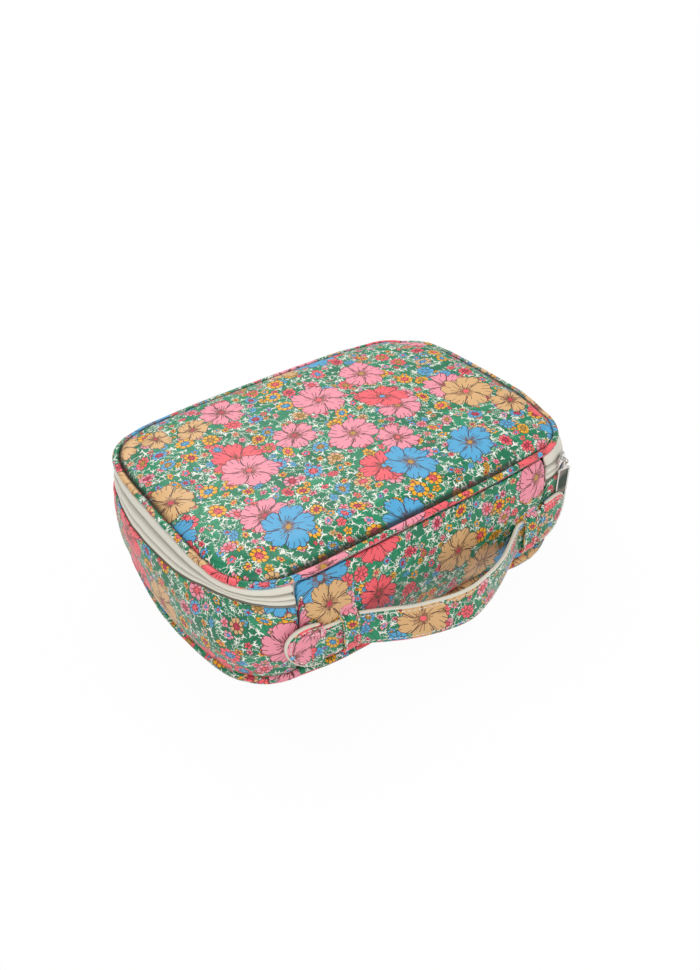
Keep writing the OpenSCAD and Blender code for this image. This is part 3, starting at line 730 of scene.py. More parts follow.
lidPrint = printMaterial("lidPrint", 0, (200, 150))
frontPrint = printMaterial("frontPrint", 0, (420, 310))
gussetPrint = printMaterial("gussetPrint", 0, (900, 730))
basePrint = printMaterial("basePrint", 0, (60, 1330))
pipingPrint = printMaterial("pipingPrint", 45, (700, 130), dent=0.5)
strapPrint = printMaterial("strapPrint", 0, (1310, 520), dent=0.4)
loopPrint = printMaterial("loopPrint", 90, (1710, 90), dent=0.4)
creamTape = plainCloth("creamTape", "#e6e2d3", pitch=0.5, bump=0.25, rough=(0.34, 0.46), coat=0.15, speck=0.05)
creamEdge = plainCloth("creamEdge", "#e3dfcf", pitch=0.7, bump=0.4, rough=(0.45, 0.6), speck=0.06)
liningCloth = plainCloth("liningCloth", "#ece9e0", pitch=0.5, bump=0.3)
thread = plainCloth("sewingThread", "#f0ece2", pitch=0.25, bump=0.5)
coilNylon = plainCloth("coilNylon", "#efede4", pitch=0.9, bump=0.1, rough=(0.3, 0.4))
boardMaterial = plainCloth("baseBoard", "#8c7459", pitch=1.2, bump=0.5)
nickel = metalMaterial("polishedNickel", "#d9d6d0")
# the puller's recess: dark green nickel with lighter blotches, a painted reflection of the printed cloth around it
nickelWithPaintedReflection = metalMaterial("nickelPaintedReflection", "#3d4a40", rough=(0.04, 0.1), paintedReflection="#8b8078")
print("materials: made")

sideCorners = {"front": ("frontLeft", "frontRight"), "right": ("frontRight", "backRight"),
               "back": ("backRight", "backLeft"), "left": ("backLeft", "frontLeft")}

# One side of the outline, from the middle of one corner to the middle of the next
def sideLine(side, out):
    first, second = sideCorners[side]
    middle = {name: (arcs[name][2] + arcs[name][3]) / 2 for name in (first, second)}
    straight = frontRun(2.0) if side == "front" else arcRun(side, 2.0)
    points, normals, _ = joinRuns(arcRun(first, 1.0, start=middle[first]), straight,
                                  arcRun(second, 1.0, end=middle[second]))
    return points + out * normals


panelRows = {"crowd": 0.0195, "reach": 0.009, "power": 6}   # rows crowd towards the seam


# Grid that fills the outline: square rings of the grid follow the rounded outline
def panelGrid(nx, ny, out):
    lines = {side: sideLine(side, out) for side in sideCorners}
    shares = {side: lengthsAlong(line) / lengthsAlong(line)[-1] for side, line in lines.items()}

    def edgePoint(side, t):
        return np.array([np.interp(t, shares[side], lines[side][:, k]) for k in (0, 1)])

    grid = np.zeros((nx + 1, ny + 1, 2))
    for i in range(nx + 1):
        for j in range(ny + 1):
            a, b = 2 * i / nx - 1, 2 * j / ny - 1
            ring = max(abs(a), abs(b))
            if ring < 1e-9:
                continue
            if abs(b) >= abs(a):
                along = (a / ring + 1) / 2
                point = edgePoint("front", along) if b < 0 else edgePoint("back", 1 - along)
            else:
                along = (b / ring + 1) / 2
                point = edgePoint("right", along) if a > 0 else edgePoint("left", 1 - along)
            crowd = panelRows["crowd"] * (1 - math.exp((ring - 1) / panelRows["reach"])) * ring ** panelRows["power"]
            grid[i, j] = point * (ring + crowd)
    return grid


# Distance inwards from the lid seam
def seamDistance(xy):
    x, y = xy[..., 0], xy[..., 1]
    distance = y + frontY
    for centre, radius, a0, a1 in arcs.values():
        dx, dy = x - centre[0], y - centre[1]
        angle = np.degrees(np.arctan2(dy, dx)) % 360
        inside = ((angle - a0) % 360) <= (a1 - a0)
        distance = np.where(inside, np.minimum(distance, radius - np.hypot(dx, dy)), distance)
    return distance


# A filled panel between two heights; also gives the number of points in its top
def panelSolid(name, nx, ny, out, topZ, bottomZ, material):
    grid = panelGrid(nx, ny, out)
    top, bottom = (np.concatenate([grid, z(grid)[..., None]], 2).reshape(-1, 3) for z in (topZ, bottomZ))
    m = ny + 1
    flat = grid.reshape(-1, 2)
    offset = len(flat)
    faces = gridFaces(nx + 1, m, False, False)
    under = [[k + offset for k in reversed(face)] for face in faces]
    faces += under
    uvs = [tuple(flat[k % offset]) for face in faces for k in face]
    rim = [i * m for i in range(nx + 1)] + [nx * m + j for j in range(1, m)]
    rim += [i * m + ny for i in range(nx - 1, -1, -1)] + [j for j in range(ny - 1, 0, -1)]
    for a, b in zip(rim, rim[1:] + rim[:1]):
        faces.append([a, a + offset, b + offset, b])
        uvs += [tuple(flat[a]), tuple(flat[a] * 1.01), tuple(flat[b] * 1.01), tuple(flat[b])]
    return finishMesh(name, soften(np.concatenate([top, bottom])), faces, uvs, material), offset


lidPad = {"across": 92, "deep": 66, "out": 0.5, "dome": 0.9, "domeHalf": (126, 90), "crownPower": 2.5,
          "pressure": 3.0, "cap": 1.6, "pucker": 0.22, "puckerSize": 7.0, "puckerReach": 12.0,
          "dent": 0.35, "dentSize": 42.0, "dentFrom": 15, "paintedGrooveShade": 0.88, "seamWidth": 1.4, "seamFade": 0.7,
          "paintedUnderShade": 0.6, "under": ([0, 3, 5, 7.4, 9], [80.8, 80.8, 81.5, 81.5, 79.1])}


def makeLidSkin():
    p, width = lidPad, caseShape["crownWidth"]

    def top(grid):
        share = 1 - np.clip(seamDistance(grid), 0, width) / width
        crown = caseShape["crown"] * np.maximum(0, 1 - share ** p["crownPower"]) ** (1 / p["crownPower"])
        x, y = grid[..., 0] / p["domeHalf"][0], grid[..., 1] / p["domeHalf"][1]
        return caseShape["lidSeam"] + crown + p["dome"] * (1 - x ** 2) * (1 - y ** 2)

    piece, topCount = panelSolid("lidSkin", p["across"], p["deep"], p["out"], top,
                                 lambda grid: np.interp(seamDistance(grid), *p["under"]), lidPrint)
    co = vertsOf(piece)
    d = seamDistance(co[:, :2])
    isTop = np.arange(len(co)) < topCount
    held = np.where(isTop & (d > 0.5), np.clip(1 - (d - 1) / 3, 0, 1), 1.0)
    puffPadding(piece, held, p["pressure"], p["cap"])
    co = vertsOf(piece)
    pucker = waves(co, p["puckerSize"], 3.0) * p["pucker"] * np.exp(-d / p["puckerReach"]) * np.clip(d / 1.5, 0, 1)
    dents = waves(co, p["dentSize"], 11.0) * p["dent"] * np.clip(d / p["dentFrom"], 0, 1)
    co[:, 2] += np.where(isTop, pucker + dents, 0)
    moveVerts(piece, co)
    # painted shade: a dark line along the lid's seam beside the piping, and a darkened underside
    seam = p["paintedGrooveShade"] * hump(np.maximum(d, p["seamWidth"]), p["seamWidth"], p["seamFade"])
    paintShade(piece, np.where(isTop, seam, p["paintedUnderShade"]))
    smoothEdges(piece)
    settle(piece, "lid", "print_skin", "lid_panel", "lid_foam")


makeLidSkin()
print("lid skin: done")

pipingShape = {"sides": 16, "lump": 0.10, "lumpSize": 5.0, "drawnIn": 0.35, "drawnWidth": 0.8,
               "dark": ([0, 108, 150, 215, 240, 360], [0, 0, 0.85, 0.85, 0, 0])}


# Cord in a bias-cut cover, slightly drawn in by its seam
def makePiping(name, out, z, radius, body, node, seed):
    p, run = pipingShape, ringRun(2.2)
    lumps = waves(withZero(run[0]), p["lumpSize"], seed) * p["lump"]
    angles = np.linspace(0, 2 * math.pi, p["sides"], endpoint=False)

    def profile(k):
        line = np.array([out, z]) + (radius + lumps[k]) * np.stack([np.cos(angles), np.sin(angles)], 1)
        line[:, 0] -= p["drawnIn"] * hump(line[:, 0], out - radius, p["drawnWidth"])
        return line

    piece = sweepPiece(name, run, profile, pipingPrint, closedRun=True, shift=seed * 31)
    # painted shade on the cord's inner side, where it meets the panel
    paintShade(piece, np.interp(np.degrees(angles), *p["dark"]))
    settle(piece, body, "piping_cover", node)


makePiping("lidPiping", caseShape["lidCordOut"], caseShape["cordHeight"], caseShape["lidCord"],
           "lid", "lid_piping", 5.0)
makePiping("basePiping", caseShape["baseCord"], caseShape["baseCordHeight"], caseShape["baseCord"],
           "case", "base_piping", 9.0)
print("piping: done")

# The puller hangs from its eye, turned to lie between the corner and the end tab
pullerShape = {"slider": -66, "reach": 41.27, "eyeHeight": 69.18, "turn": -24, "lean": 4.0, "swing": 5.0,
               "width": 10.4, "top": 3.1, "length": 31.0, "thick": 1.4, "corner": 1.3, "rim": 0.95, "recess": 0.3,
               "run": 62, "pressHalf": 6.8, "pressEdge": 1.6, "pressPast": 2.5, "pressGap": 0.35}


def pullerFrame():
    p = pullerShape
    slider, facing, lean = (math.radians(a) for a in (p["slider"], p["slider"] + p["turn"], p["lean"]))
    centre = arcs["frontRight"][0]
    eye = np.array([centre[0] + p["reach"] * math.cos(slider), centre[1] + p["reach"] * math.sin(slider),
                    p["eyeHeight"]])
    out = np.array([math.cos(facing), math.sin(facing), 0])
    along = np.array([-math.sin(facing), math.cos(facing), 0])
    face = out * math.cos(lean) + np.array([0, 0, math.sin(lean)])
    up = np.array([-out[0] * math.sin(lean), -out[1] * math.sin(lean), math.cos(lean)])
    swing = math.radians(p["swing"])   # its lower end hangs a little to the left
    return eye, along * math.cos(swing) - up * math.sin(swing), face, up * math.cos(swing) + along * math.sin(swing)


# The soft wall gives way behind the hanging puller, all along the slider's run
def pressedByPuller(co):
    p = pullerShape
    eye, along, out, up = pullerFrame()
    centre = np.array([*arcs["frontRight"][0], 0.0])
    top = -p["top"] + p["pressPast"]
    bottom = -p["top"] - p["length"] - p["pressPast"]
    for turn in np.radians(np.linspace(0, p["run"], 28)):
        spin = np.array([[math.cos(turn), -math.sin(turn), 0], [math.sin(turn), math.cos(turn), 0], [0, 0, 1]])
        local = (co - centre) @ spin - (eye - centre)
        across, deep, high = local @ along, local @ out, local @ up
        share = np.clip((p["pressHalf"] - np.abs(across)) / p["pressEdge"], 0, 1)
        share *= np.clip((high - bottom) / 2, 0, 1) * np.clip((top - high) / 2, 0, 1)
        excess = np.clip(deep + p["thick"] / 2 + p["pressGap"], 0, 3)
        co = co - (excess * share)[:, None] * (spin @ out)
    return co


wallPad = {"pressure": 3.0, "cap": 1.2, "thick": 4.2, "skin": 1.2, "rows": 22, "ripple": 0.25, "rippleSize": 16.0,
           "fineRipple": 0.12, "fineSize": 5.5, "rippleFade": 8, "heldWidth": 5, "endDip": 0.9, "endFade": 1.1,
           "foldRise": 0.35, "foldRound": 0.25}


def wallProfile(bottom, top, foamTop):
    w = wallPad
    zs, back = np.linspace(bottom, top, w["rows"]), np.linspace(foamTop, bottom, 8)[1:]
    lip, foam, skin = wallOut(top), wallOut(foamTop), w["skin"]
    fold = [[lip - w["foldRound"], top + w["foldRise"]], [lip - skin + w["foldRound"], top + w["foldRise"]],
            [lip - skin, top - 0.1], [foam - skin, foamTop], [foam - w["thick"], foamTop]]
    return np.concatenate([np.stack([wallOut(zs), zs], 1), fold, np.stack([wallOut(back) - w["thick"], back], 1)])


def makeWallPad(name, run, top, foamTop, material, nodes, seed):
    w, bottom = wallPad, caseShape["wallBottom"]
    line = wallProfile(bottom, top, foamTop)
    ends = np.minimum(run[2], run[2][-1] - run[2])
    outer = np.arange(len(line)) < w["rows"]

    def profile(k):
        moved = line.copy()
        moved[outer, 0] -= w["endDip"] * hump(ends[k], 0, w["endFade"])
        return moved

    piece = sweepPiece(name, run, profile, material)
    away = np.minimum(np.minimum(line[:, 1] - bottom, top - line[:, 1]), ends[:, None])
    held = np.where(outer, np.clip(1 - away / w["heldWidth"], 0, 1), 1.0)
    puffPadding(piece, held.ravel(), w["pressure"], w["cap"])
    co = vertsOf(piece)
    ripple = waves(co, w["rippleSize"], seed) * w["ripple"] + waves(co, w["fineSize"], seed + 4) * w["fineRipple"]
    share = np.clip(np.minimum(co[:, 2] - bottom, top - co[:, 2]) / w["rippleFade"], 0, 1)
    share *= np.tile(outer, len(run[0]))
    co[:, :2] += np.repeat(run[1], len(line), axis=0) * (ripple * share)[:, None]
    moveVerts(piece, pressedByPuller(co))
    smoothEdges(piece)
    settle(piece, "case", "print_skin", *nodes)


makeWallPad("frontSkin", joinRuns(frontRun(3.0)), caseShape["wallTop"], caseShape["frontFoamTop"], frontPrint,
            ["front_panel", "front_foam"], 21.0)
makeWallPad("gussetSkin", zipRun(3.0), caseShape["gussetTop"], caseShape["foamTop"], gussetPrint,
            ["side_gusset", "gusset_foam"], 33.0)
print("walls: done")

# The base skin: its rim stands up by the cord, and its lower edge is rounded off the floor
baseShape = {"out": -0.1, "rim": 2.5, "drop": 1.3, "rimWidth": 1.3, "rimFade": 0.6, "lift": 1.6, "liftWidth": 3.2}


def makeBaseSkin():
    b = baseShape

    def top(grid):
        return b["rim"] - b["drop"] * np.clip((seamDistance(grid) - b["rimWidth"]) / b["rimFade"], 0, 1)

    def bottom(grid):
        return b["lift"] * np.clip(1 - (seamDistance(grid) + b["out"]) / b["liftWidth"], 0, 1) ** 2

    piece, _ = panelSolid("baseSkin", 70, 50, b["out"], top, bottom, basePrint)
    settle(piece, "case", "print_skin", "base_panel")


makeBaseSkin()
print("base: done")

zipShape = {"slitHalf": 0.12, "tape": 0.8, "inset": 1.2, "top": 78.6, "bottom": 57.8, "upperRoll": 1.6,
            "ridge": 1.4, "ridgeWidth": 4.9, "foot": 62, "tuck": 0.8, "groove": 0.7, "grooveWidth": 0.55,
            "coilRadius": 1.45, "coilGap": 1.35, "wire": 0.38, "turn": 1.5, "turnPoints": 9, "wireSides": 5}
zipPath = zipRun(2.0, trim=0.65)


# A tape's section: its outer face, the lip that rolls in at the slit, and its inner face
def tapeSection(outward, zs, slit, way, end, rows, tuck):
    edge = zipShape["inset"] + zipShape["tape"]
    lip = outward[-1]
    roll = [[lip - 0.25, slit + way * 0.1], [lip - 0.7, slit], [lip - 1.1, slit + way * 0.3]]
    zi = np.linspace(slit + way * 1.2, end, rows)
    return np.concatenate([np.stack([outward, zs], 1), roll, np.stack([wallOut(zi) - edge - tuck(zi), zi], 1)])


def makeTape(name, line, shade, body, node):
    piece = sweepPiece(name, zipPath, line, creamTape)
    paintShade(piece, shade)
    smoothEdges(piece)
    settle(piece, body, "zip_tape", node)


def makeUpperTape():
    s = zipShape
    top, slit = s["top"], caseShape["slit"] + s["slitHalf"]
    zs = np.linspace(top, slit + 0.3, 20)
    share = (top - zs) / (top - slit)
    roll = s["upperRoll"] * (1 - (np.abs(share - 0.3) / np.where(share > 0.3, 0.7, 0.45)) ** 2.4)
    roll -= s["groove"] * hump(zs, slit, s["grooveWidth"])
    outward = wallOut(zs) - s["inset"] - s["tuck"] + roll
    line = tapeSection(outward, zs, slit, 1, top, 6, lambda z: s["tuck"])
    z = line[:, 1]
    # painted shade: a dark line at the slit, and a painted gradient that darkens the upper tape from its top down to
    # the slit
    shade = 0.46 * hump(z, slit, 1.1) + 0.16 * np.clip((top - z) / (top - slit), 0, 1) ** 2
    makeTape("zipTapeUpper", line, shade, "lid", "zip_tape_lid")


# Above the gusset's fold the lower tape lies flat, and then folds into a ridge beside the slit
def makeLowerTape():
    s = zipShape
    slit, foot = caseShape["slit"] - s["slitHalf"], s["foot"]
    crease = slit - s["ridgeWidth"]
    zs = np.concatenate([np.linspace(s["bottom"], foot - 0.1, 5), np.linspace(foot + 0.4, slit - 0.3, 30)])
    ridge = np.clip(1 - (2 * (zs - crease) / s["ridgeWidth"] - 1) ** 2, 0, 1) ** 0.7 * s["ridge"]
    flat = np.clip(1 - (2 * (zs - foot) / (crease - foot) - 1) ** 2, 0, 1) ** 0.8
    sunk = s["inset"] + s["tuck"] * np.clip((zs - foot + 1) / 0.9, 0, 1)
    for place, width in ((slit, s["grooveWidth"]), (crease, 0.5), (foot + 0.2, 0.8)):
        sunk = sunk + s["groove"] * hump(zs, place, width)
    line = tapeSection(wallOut(zs) - sunk + ridge + flat, zs, slit, -1, s["bottom"], 8,
                       lambda z: s["tuck"] * np.clip((z - foot + 1) / 2, 0, 1))
    z = line[:, 1]
    # painted shade in the slit and in the crease, and a painted shadow along the foot where the tape meets the
    # gusset's fold
    shade = 0.46 * hump(z, slit, 1.0) + 0.4 * hump(z, crease, 1.0) + 0.8 * hump(np.maximum(z, foot), foot, 0.8)
    makeTape("zipTapeLower", line, np.clip(shade, 0, 0.9), "case", "zip_tape_case")


# Nylon coil: one wound wire that follows the tape's edge
def makeCoil(name, body, z, phase, node):
    c = zipShape
    points, normals, lengths = zipPath
    total = lengths[-1]
    count = int(total / c["turn"]) * c["turnPoints"]
    s = np.linspace(1, total - 1, count)
    place, normal = (np.stack([np.interp(s, lengths, flat[:, k]) for k in (0, 1)], 1) for flat in (points, normals))
    angle = 2 * math.pi * s / c["turn"] + phase
    out = wallOut(z) - c["inset"] - c["tuck"] - c["tape"] - c["coilRadius"] * 0.75
    across = out + c["coilRadius"] * 0.7 * np.cos(angle)
    path = np.column_stack([place + normal * across[:, None], z + c["coilRadius"] * np.sin(angle)])
    tangent = directions(path)
    side = np.cross(tangent, [0, 0, 1.0])
    side /= np.maximum(np.linalg.norm(side, axis=1), 1e-6)[:, None]
    up = np.cross(side, tangent)
    ring = np.linspace(0, 2 * math.pi, c["wireSides"], endpoint=False)[None, :, None]
    coords = path[:, None, :] + c["wire"] * (np.cos(ring) * side[:, None, :] + np.sin(ring) * up[:, None, :])
    coords = soften(coords.reshape(-1, 3)).reshape(coords.shape)
    u, v = np.linspace(0, total * 3, count), np.linspace(0, 2.4, c["wireSides"] + 1)
    settle(gridPiece(name, coords, u, v, coilNylon), body, "zip_coil", node)


makeUpperTape()
makeLowerTape()
makeCoil("zipCoilUpper", "lid", caseShape["slit"] + zipShape["coilGap"], 0.0, "zip_coil_lid")
makeCoil("zipCoilLower", "case", caseShape["slit"] - zipShape["coilGap"], math.pi, "zip_coil_case")
print("zip: done")

for nodeName, material in (("zip_slider", nickel), ("slider_ring", nickel), ("base_board", boardMaterial)):
    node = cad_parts[nodeName]
    node.data.materials.clear()
    node.data.materials.append(material)


def roundedBox(halfWidth, top, bottom, corner, inset):
    c = max(0.15, corner - inset)
    x, high, low = halfWidth - inset - c, top - inset - c, bottom + inset + c
    parts = []
    for cx, cz, start in ((x, low, -90), (x, high, 0), (-x, high, 90), (-x, low, 180)):
        a = np.radians(np.linspace(start, start + 90, 7))
        parts.append(np.stack([cx + c * np.cos(a), cz + c * np.sin(a)], 1))
    return np.concatenate(parts)


# A mirror plate with a raised rim, its neck, and a flat eye round the ring
def makePuller():
    p = pullerShape
    eye, along, out, up = pullerFrame()
    half = p["thick"] / 2
    verts, faces = [], []

    def addRings(rings, closed=False):
        first, m = len(verts), len(rings[0])
        for ring in rings:
            verts.extend(ring)
        faces.extend(gridFaces(len(rings), m, closed, True, first))
        for row in () if closed else (0, len(rings) - 1):
            faces.append([first + row * m + k for k in range(m)])

    def lay(flat, deep):
        return [eye + along * x + up * z + out * deep for x, z in flat]

    top, bottom = -p["top"], -p["top"] - p["length"]
    levels = [(1.6, -half), (0.3, -half), (0.08, -half + 0.08), (0, -half + 0.3), (0, half - 0.35),
              (0.1, half - 0.1), (0.3, half), (p["rim"] - 0.1, half), (p["rim"] + 0.05, half - 0.06),
              (p["rim"] + 0.2, half - p["recess"]), (1.9, half - p["recess"])]
    addRings([lay(roundedBox(p["width"] / 2, top, bottom, p["corner"], inset), deep) for inset, deep in levels])
    neck = [(0.35, -half), (0.05, -half + 0.25), (0.05, half - 0.25), (0.35, half)]
    addRings([lay(roundedBox(1.5, -1.35, top - 0.6, 0.5, inset), deep) for inset, deep in neck])
    turn = np.linspace(0, 2 * math.pi, 28, endpoint=False)
    washer = [(1.8, -half + 0.25), (1.8, half - 0.25), (1.55, half), (1.15, half), (0.92, half - 0.25),
              (0.92, -half + 0.25), (1.15, -half), (1.55, -half)]
    addRings([lay([(r * math.cos(a), r * math.sin(a)) for a in turn], deep) for r, deep in washer], closed=True)
    uvs = [(verts[k] @ along, verts[k][2]) for face in faces for k in face]
    piece = finishMesh("zipPuller", verts, faces, uvs, nickel)
    # the recessed face gets nickel with a painted reflection: dark green with lighter blotches
    piece.data.materials.append(nickelWithPaintedReflection)
    for face in piece.data.polygons:
        face.use_smooth = len(face.vertices) == 4
        local = np.array(face.center) / mm - eye
        inRim = abs(local @ along) < p["width"] / 2 - p["rim"] and bottom + p["rim"] < local @ up < top - p["rim"]
        if inRim and face.normal @ Vector(out) > 0.9 and 0 < local @ out < half - p["recess"] + 0.05:
            face.material_index = 1
    settle(piece, "puller", "nickel_mirror", "zip_puller")


makePuller()
print("puller: done")

# The flat linings and the bindings: how far out they reach, and their lower and upper height
liningShape = {"behind": 4.2, "gap": 0.05, "thick": 0.6, "bottom": 4.3,
               "base": (-0.9, 3.5, 4.1), "lid": (-2.2, 78.5, 79.1)}


def makeLining(name, run, top, node):
    s = liningShape
    zs = np.linspace(s["bottom"], top, 24)
    face = np.stack([wallOut(zs) - s["behind"] - s["thick"], zs], 1)
    back = np.stack([wallOut(zs) - s["behind"] - s["gap"], zs], 1)[::-1]
    piece = sweepPiece(name, run, np.concatenate([face, back]), liningCloth)
    settle(piece, "case", "lining", node)


makeLining("frontLining", joinRuns(frontRun(4.0)), caseShape["wallTop"], "front_lining")
makeLining("gussetLining", zipRun(4.0), caseShape["foamTop"], "gusset_lining")


def makeFlatLining(name, part, body, node):
    out, low, high = liningShape[part]
    piece, _ = panelSolid(name, 40, 30, out, lambda grid: np.full(grid.shape[:2], high),
                          lambda grid: np.full(grid.shape[:2], low), liningCloth)
    settle(piece, body, "lining", node)


makeFlatLining("baseLining", "base", "case", "base_lining")
makeFlatLining("lidLining", "lid", "lid", "lid_lining")

gussetOut = wallOut(58.5)
bindingShape = {"gusset": (gussetOut - 4.8, gussetOut - 2.1, 57.8, 60.9), "lid": (-7.2, -6.1, 79.2, 81.4)}


# Bias tape folded over raw edges: a rounded strip between two depths and two heights
def makeBinding(name, run, part, body, node):
    def squared(value):
        return np.sign(value) * np.abs(value) ** 0.5

    inner, outer, low, high = bindingShape[part]
    angles = np.linspace(0, 2 * math.pi, 12, endpoint=False)
    across = (inner + outer) / 2 + (outer - inner) / 2 * squared(np.cos(angles))
    height = (low + high) / 2 + (high - low) / 2 * squared(np.sin(angles))
    piece = sweepPiece(name, run, np.stack([across, height], 1), creamEdge, closedRun=part == "lid")
    settle(piece, body, "bias_tape", node)


makeBinding("gussetBinding", zipRun(4.0), "gusset", "case", "gusset_binding")
makeBinding("lidBinding", ringRun(4.0), "lid", "lid", "lid_binding")
print("lining: done")

strapShape = {"width": 25.0, "thick": 2.4, "z": 31.0, "x": 7.0, "pitch": 140.0, "loopWidth": 12.0,
              "midY": -98.4, "edge": 1.1, "stitchInset": 2.7, "rise": {-1: 0.25, 1: 0.15},
              "riseFrom": {-1: 69, 1: 70}, "wobble": 18.0, "puff": 0.4, "sideNames": {-1: "Left", 1: "Right"}}

# Plan of the strap's middle line on each side, and how far its lower edge leans out
strapBend = {
    -1: [(26, -119.2, 0.1), (7.5, -123.2, 1.1), (-10, -121.1, 1.2), (-29, -114.7, 1.2), (-42, -108.2, 1.1),
         (-52, -102.4, 0.9), (-58.5, -99.2, 0.5), (-64, -98.4, 0.1), (-89, -98.4, 0), (-94, -98.4, 0)],
    1: [(-10, -121.1, 1.2), (7.5, -123.2, 1.1), (24.5, -119.6, 0.2), (37.4, -114.8, -0.4), (46, -110.4, -0.5),
        (56.5, -104.4, -0.3), (64, -100.2, 0), (70, -98.4, 0), (85.5, -98.4, 0), (90, -98.4, 0)],
}


def smoothThrough(keys, step=2.0):
    keys = np.array(keys, float)
    rows = []
    for k in range(1, len(keys) - 2):
        p0, p1, p2, p3 = keys[k - 1:k + 3]
        count = max(2, math.ceil(np.linalg.norm((p2 - p1)[:2]) / step))
        for t in np.linspace(0, 1, count, endpoint=False):
            rows.append(0.5 * (2 * p1 + (p2 - p0) * t + (2 * p0 - 5 * p1 + 4 * p2 - p3) * t * t
                               + (3 * p1 - p0 - 3 * p2 + p3) * t ** 3))
    rows.append(keys[-2])
    return np.array(rows)


# Beyond its loop each end of the strap climbs a little
def strapRise(side, x):
    past = np.maximum(0, side * x - strapShape["riseFrom"][side])
    return strapShape["rise"][side] * np.where(past < 8, past * past / 16, past - 4)


def strapRun(side):
    line = smoothThrough(strapBend[side])
    points, lean = line[:, :2], line[:, 2]
    follow = directions(points)
    follow[0] = (side, 0)
    normals = np.stack([follow[:, 1], -follow[:, 0]], 1) * side
    return (points, normals, lengthsAlong(points) * side), lean


# One stitch is a row of rings: share of its length, thickness, and lift from the cloth
stitchShape = {"thick": 0.24, "flat": 1.15, "sides": 6,
               "rings": ((0, 0.35, -0.1), (0.2, 1, 0.1), (0.5, 1.05, 0.16), (0.8, 1, 0.1), (1, 0.35, -0.1))}


# A seam of separate stitches along a path; outward is the cloth's normal at each point
def makeStitches(name, paths, body=None, long=2.3, gap=0.9):
    sides, thick = stitchShape["sides"], stitchShape["thick"]
    last = len(stitchShape["rings"]) - 1
    verts, faces, uvs = [], [], []
    for path, outward in paths:
        lengths = lengthsAlong(path)

        def at(s, curve):
            return np.array([np.interp(s, lengths, curve[:, a]) for a in range(3)])

        count = int(lengths[-1] / (long + gap))
        for k in range(count):
            first = len(verts)
            start = (k + 0.5) * lengths[-1] / count - long / 2
            for share, scale, lift in stitchShape["rings"]:
                s = start + share * long
                step = at(s + 0.2, path) - at(s - 0.2, path)
                normal = at(s, outward)
                across = np.cross(step / max(np.linalg.norm(step), 1e-6), normal) * stitchShape["flat"]
                for angle in np.linspace(0, 2 * math.pi, sides, endpoint=False):
                    verts.append(at(s, path) + normal * (lift + thick * scale * math.sin(angle))
                                 + across * thick * scale * math.cos(angle))
            faces += gridFaces(last + 1, sides, False, True, first)
            uvs += gridUvs(range(last + 1), range(sides + 1))
            for row in (0, last):
                faces.append([first + row * sides + a for a in range(sides)])
                uvs += [(row, a) for a in range(sides)]
    piece = finishMesh(name, verts, faces, uvs, thread)
    if body:
        settle(piece, body, "edging")
    return piece


# Strap half: printed face and back, a cream rolled edge above and a folded one below
def makeStrapHalf(side, nodes, edgeNodes):
    s, name = strapShape, strapShape["sideNames"][side]
    run, lean = strapRun(side)
    halfWidth, halfThick = s["width"] / 2, s["thick"] / 2
    seams = (-halfWidth + s["stitchInset"], halfWidth - s["stitchInset"])
    wobble = waves(withZero(run[0]), s["wobble"], 6.0)

    def tilted(shape):
        def profile(k):
            moved = shape.copy()
            share = moved[:, 1] / halfWidth
            moved[:, 0] -= (lean[k] + 0.25 * wobble[k]) * share
            moved[:, 1] += s["z"] + 0.35 * wobble[k] + strapRise(side, run[0][k][0])
            return moved
        return profile

    zs = np.linspace(-halfWidth + 0.6, halfWidth - s["edge"], 12)
    swell = s["puff"] * (1 - (zs / halfWidth) ** 2) - 0.16 * sum(hump(zs, at, 0.7) for at in seams)
    fold = np.linspace(-math.pi * 0.5, -math.pi * 1.5, 7)[1:-1]
    under = np.stack([-halfThick * np.sin(fold + math.pi), -halfWidth + 0.6 + 0.6 * np.cos(fold)], 1)
    face = np.stack([halfThick + swell - 0.1, zs], 1)
    back = np.stack([-halfThick - swell[::-1] * 0.4, zs[::-1]], 1)
    t = np.linspace(-math.pi / 2, math.pi / 2, 9)
    top = halfWidth - s["edge"]
    roll = np.stack([(halfThick + 0.12) * np.sin(t), top + s["edge"] * np.cos(t)], 1)
    close = [[halfThick * 0.4, top - 0.3], [-halfThick * 0.4, top - 0.3]]
    band = sweepPiece(f"strap{name}", run, tilted(np.concatenate([face, back, under])), strapPrint,
                      caps=False, soft=False)
    edge = sweepPiece(f"strapEdge{name}", run, tilted(np.concatenate([roll, close])), creamEdge,
                      caps=False, soft=False)
    smoothEdges(band)
    smoothEdges(edge)
    paths = [(sweepPoints(run, tilted(np.array([[halfThick + 0.12, at]])))[:, 0], withZero(run[1])) for at in seams]
    seam = makeStitches(f"strapStitches{name}", paths)
    for piece, slotName, replaced in ((band, "print_strap", nodes), (edge, "edging", edgeNodes),
                                      (seam, "edging", [])):
        if replaced:
            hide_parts(*replaced)
        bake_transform(piece)


makeStrapHalf(-1, ["strap_face", "strap_core"], ["strap_edging"])
makeStrapHalf(1, ["strap_back"], [])

# Each tab is a stack of outlines: how far each is drawn in, and how far the padding lifts it
tabShape = {"height": 33.0, "length": {-1: 24.5, 1: 26.5}, "shoulder": {-1: 79.0, 1: 85.5},
            "curl": {-1: 0.0042, 1: 0.006}, "lean": 0.007, "corner": 2.4, "backPuff": 0.75,
            "insets": [0.55, 0.8, 1.4, 2.2, 2.7, 3.2, 4.6, 7.0, 10.0, 13.0, 14.9],
            "puff": [0.35, 0.85, 1.1, 1.15, 1.0, 1.25, 1.5, 1.6, 1.65, 1.7, 1.7],
            "printShift": 260, "edgeInset": 0.6, "edgeRadius": 0.62, "edgeSides": 12}


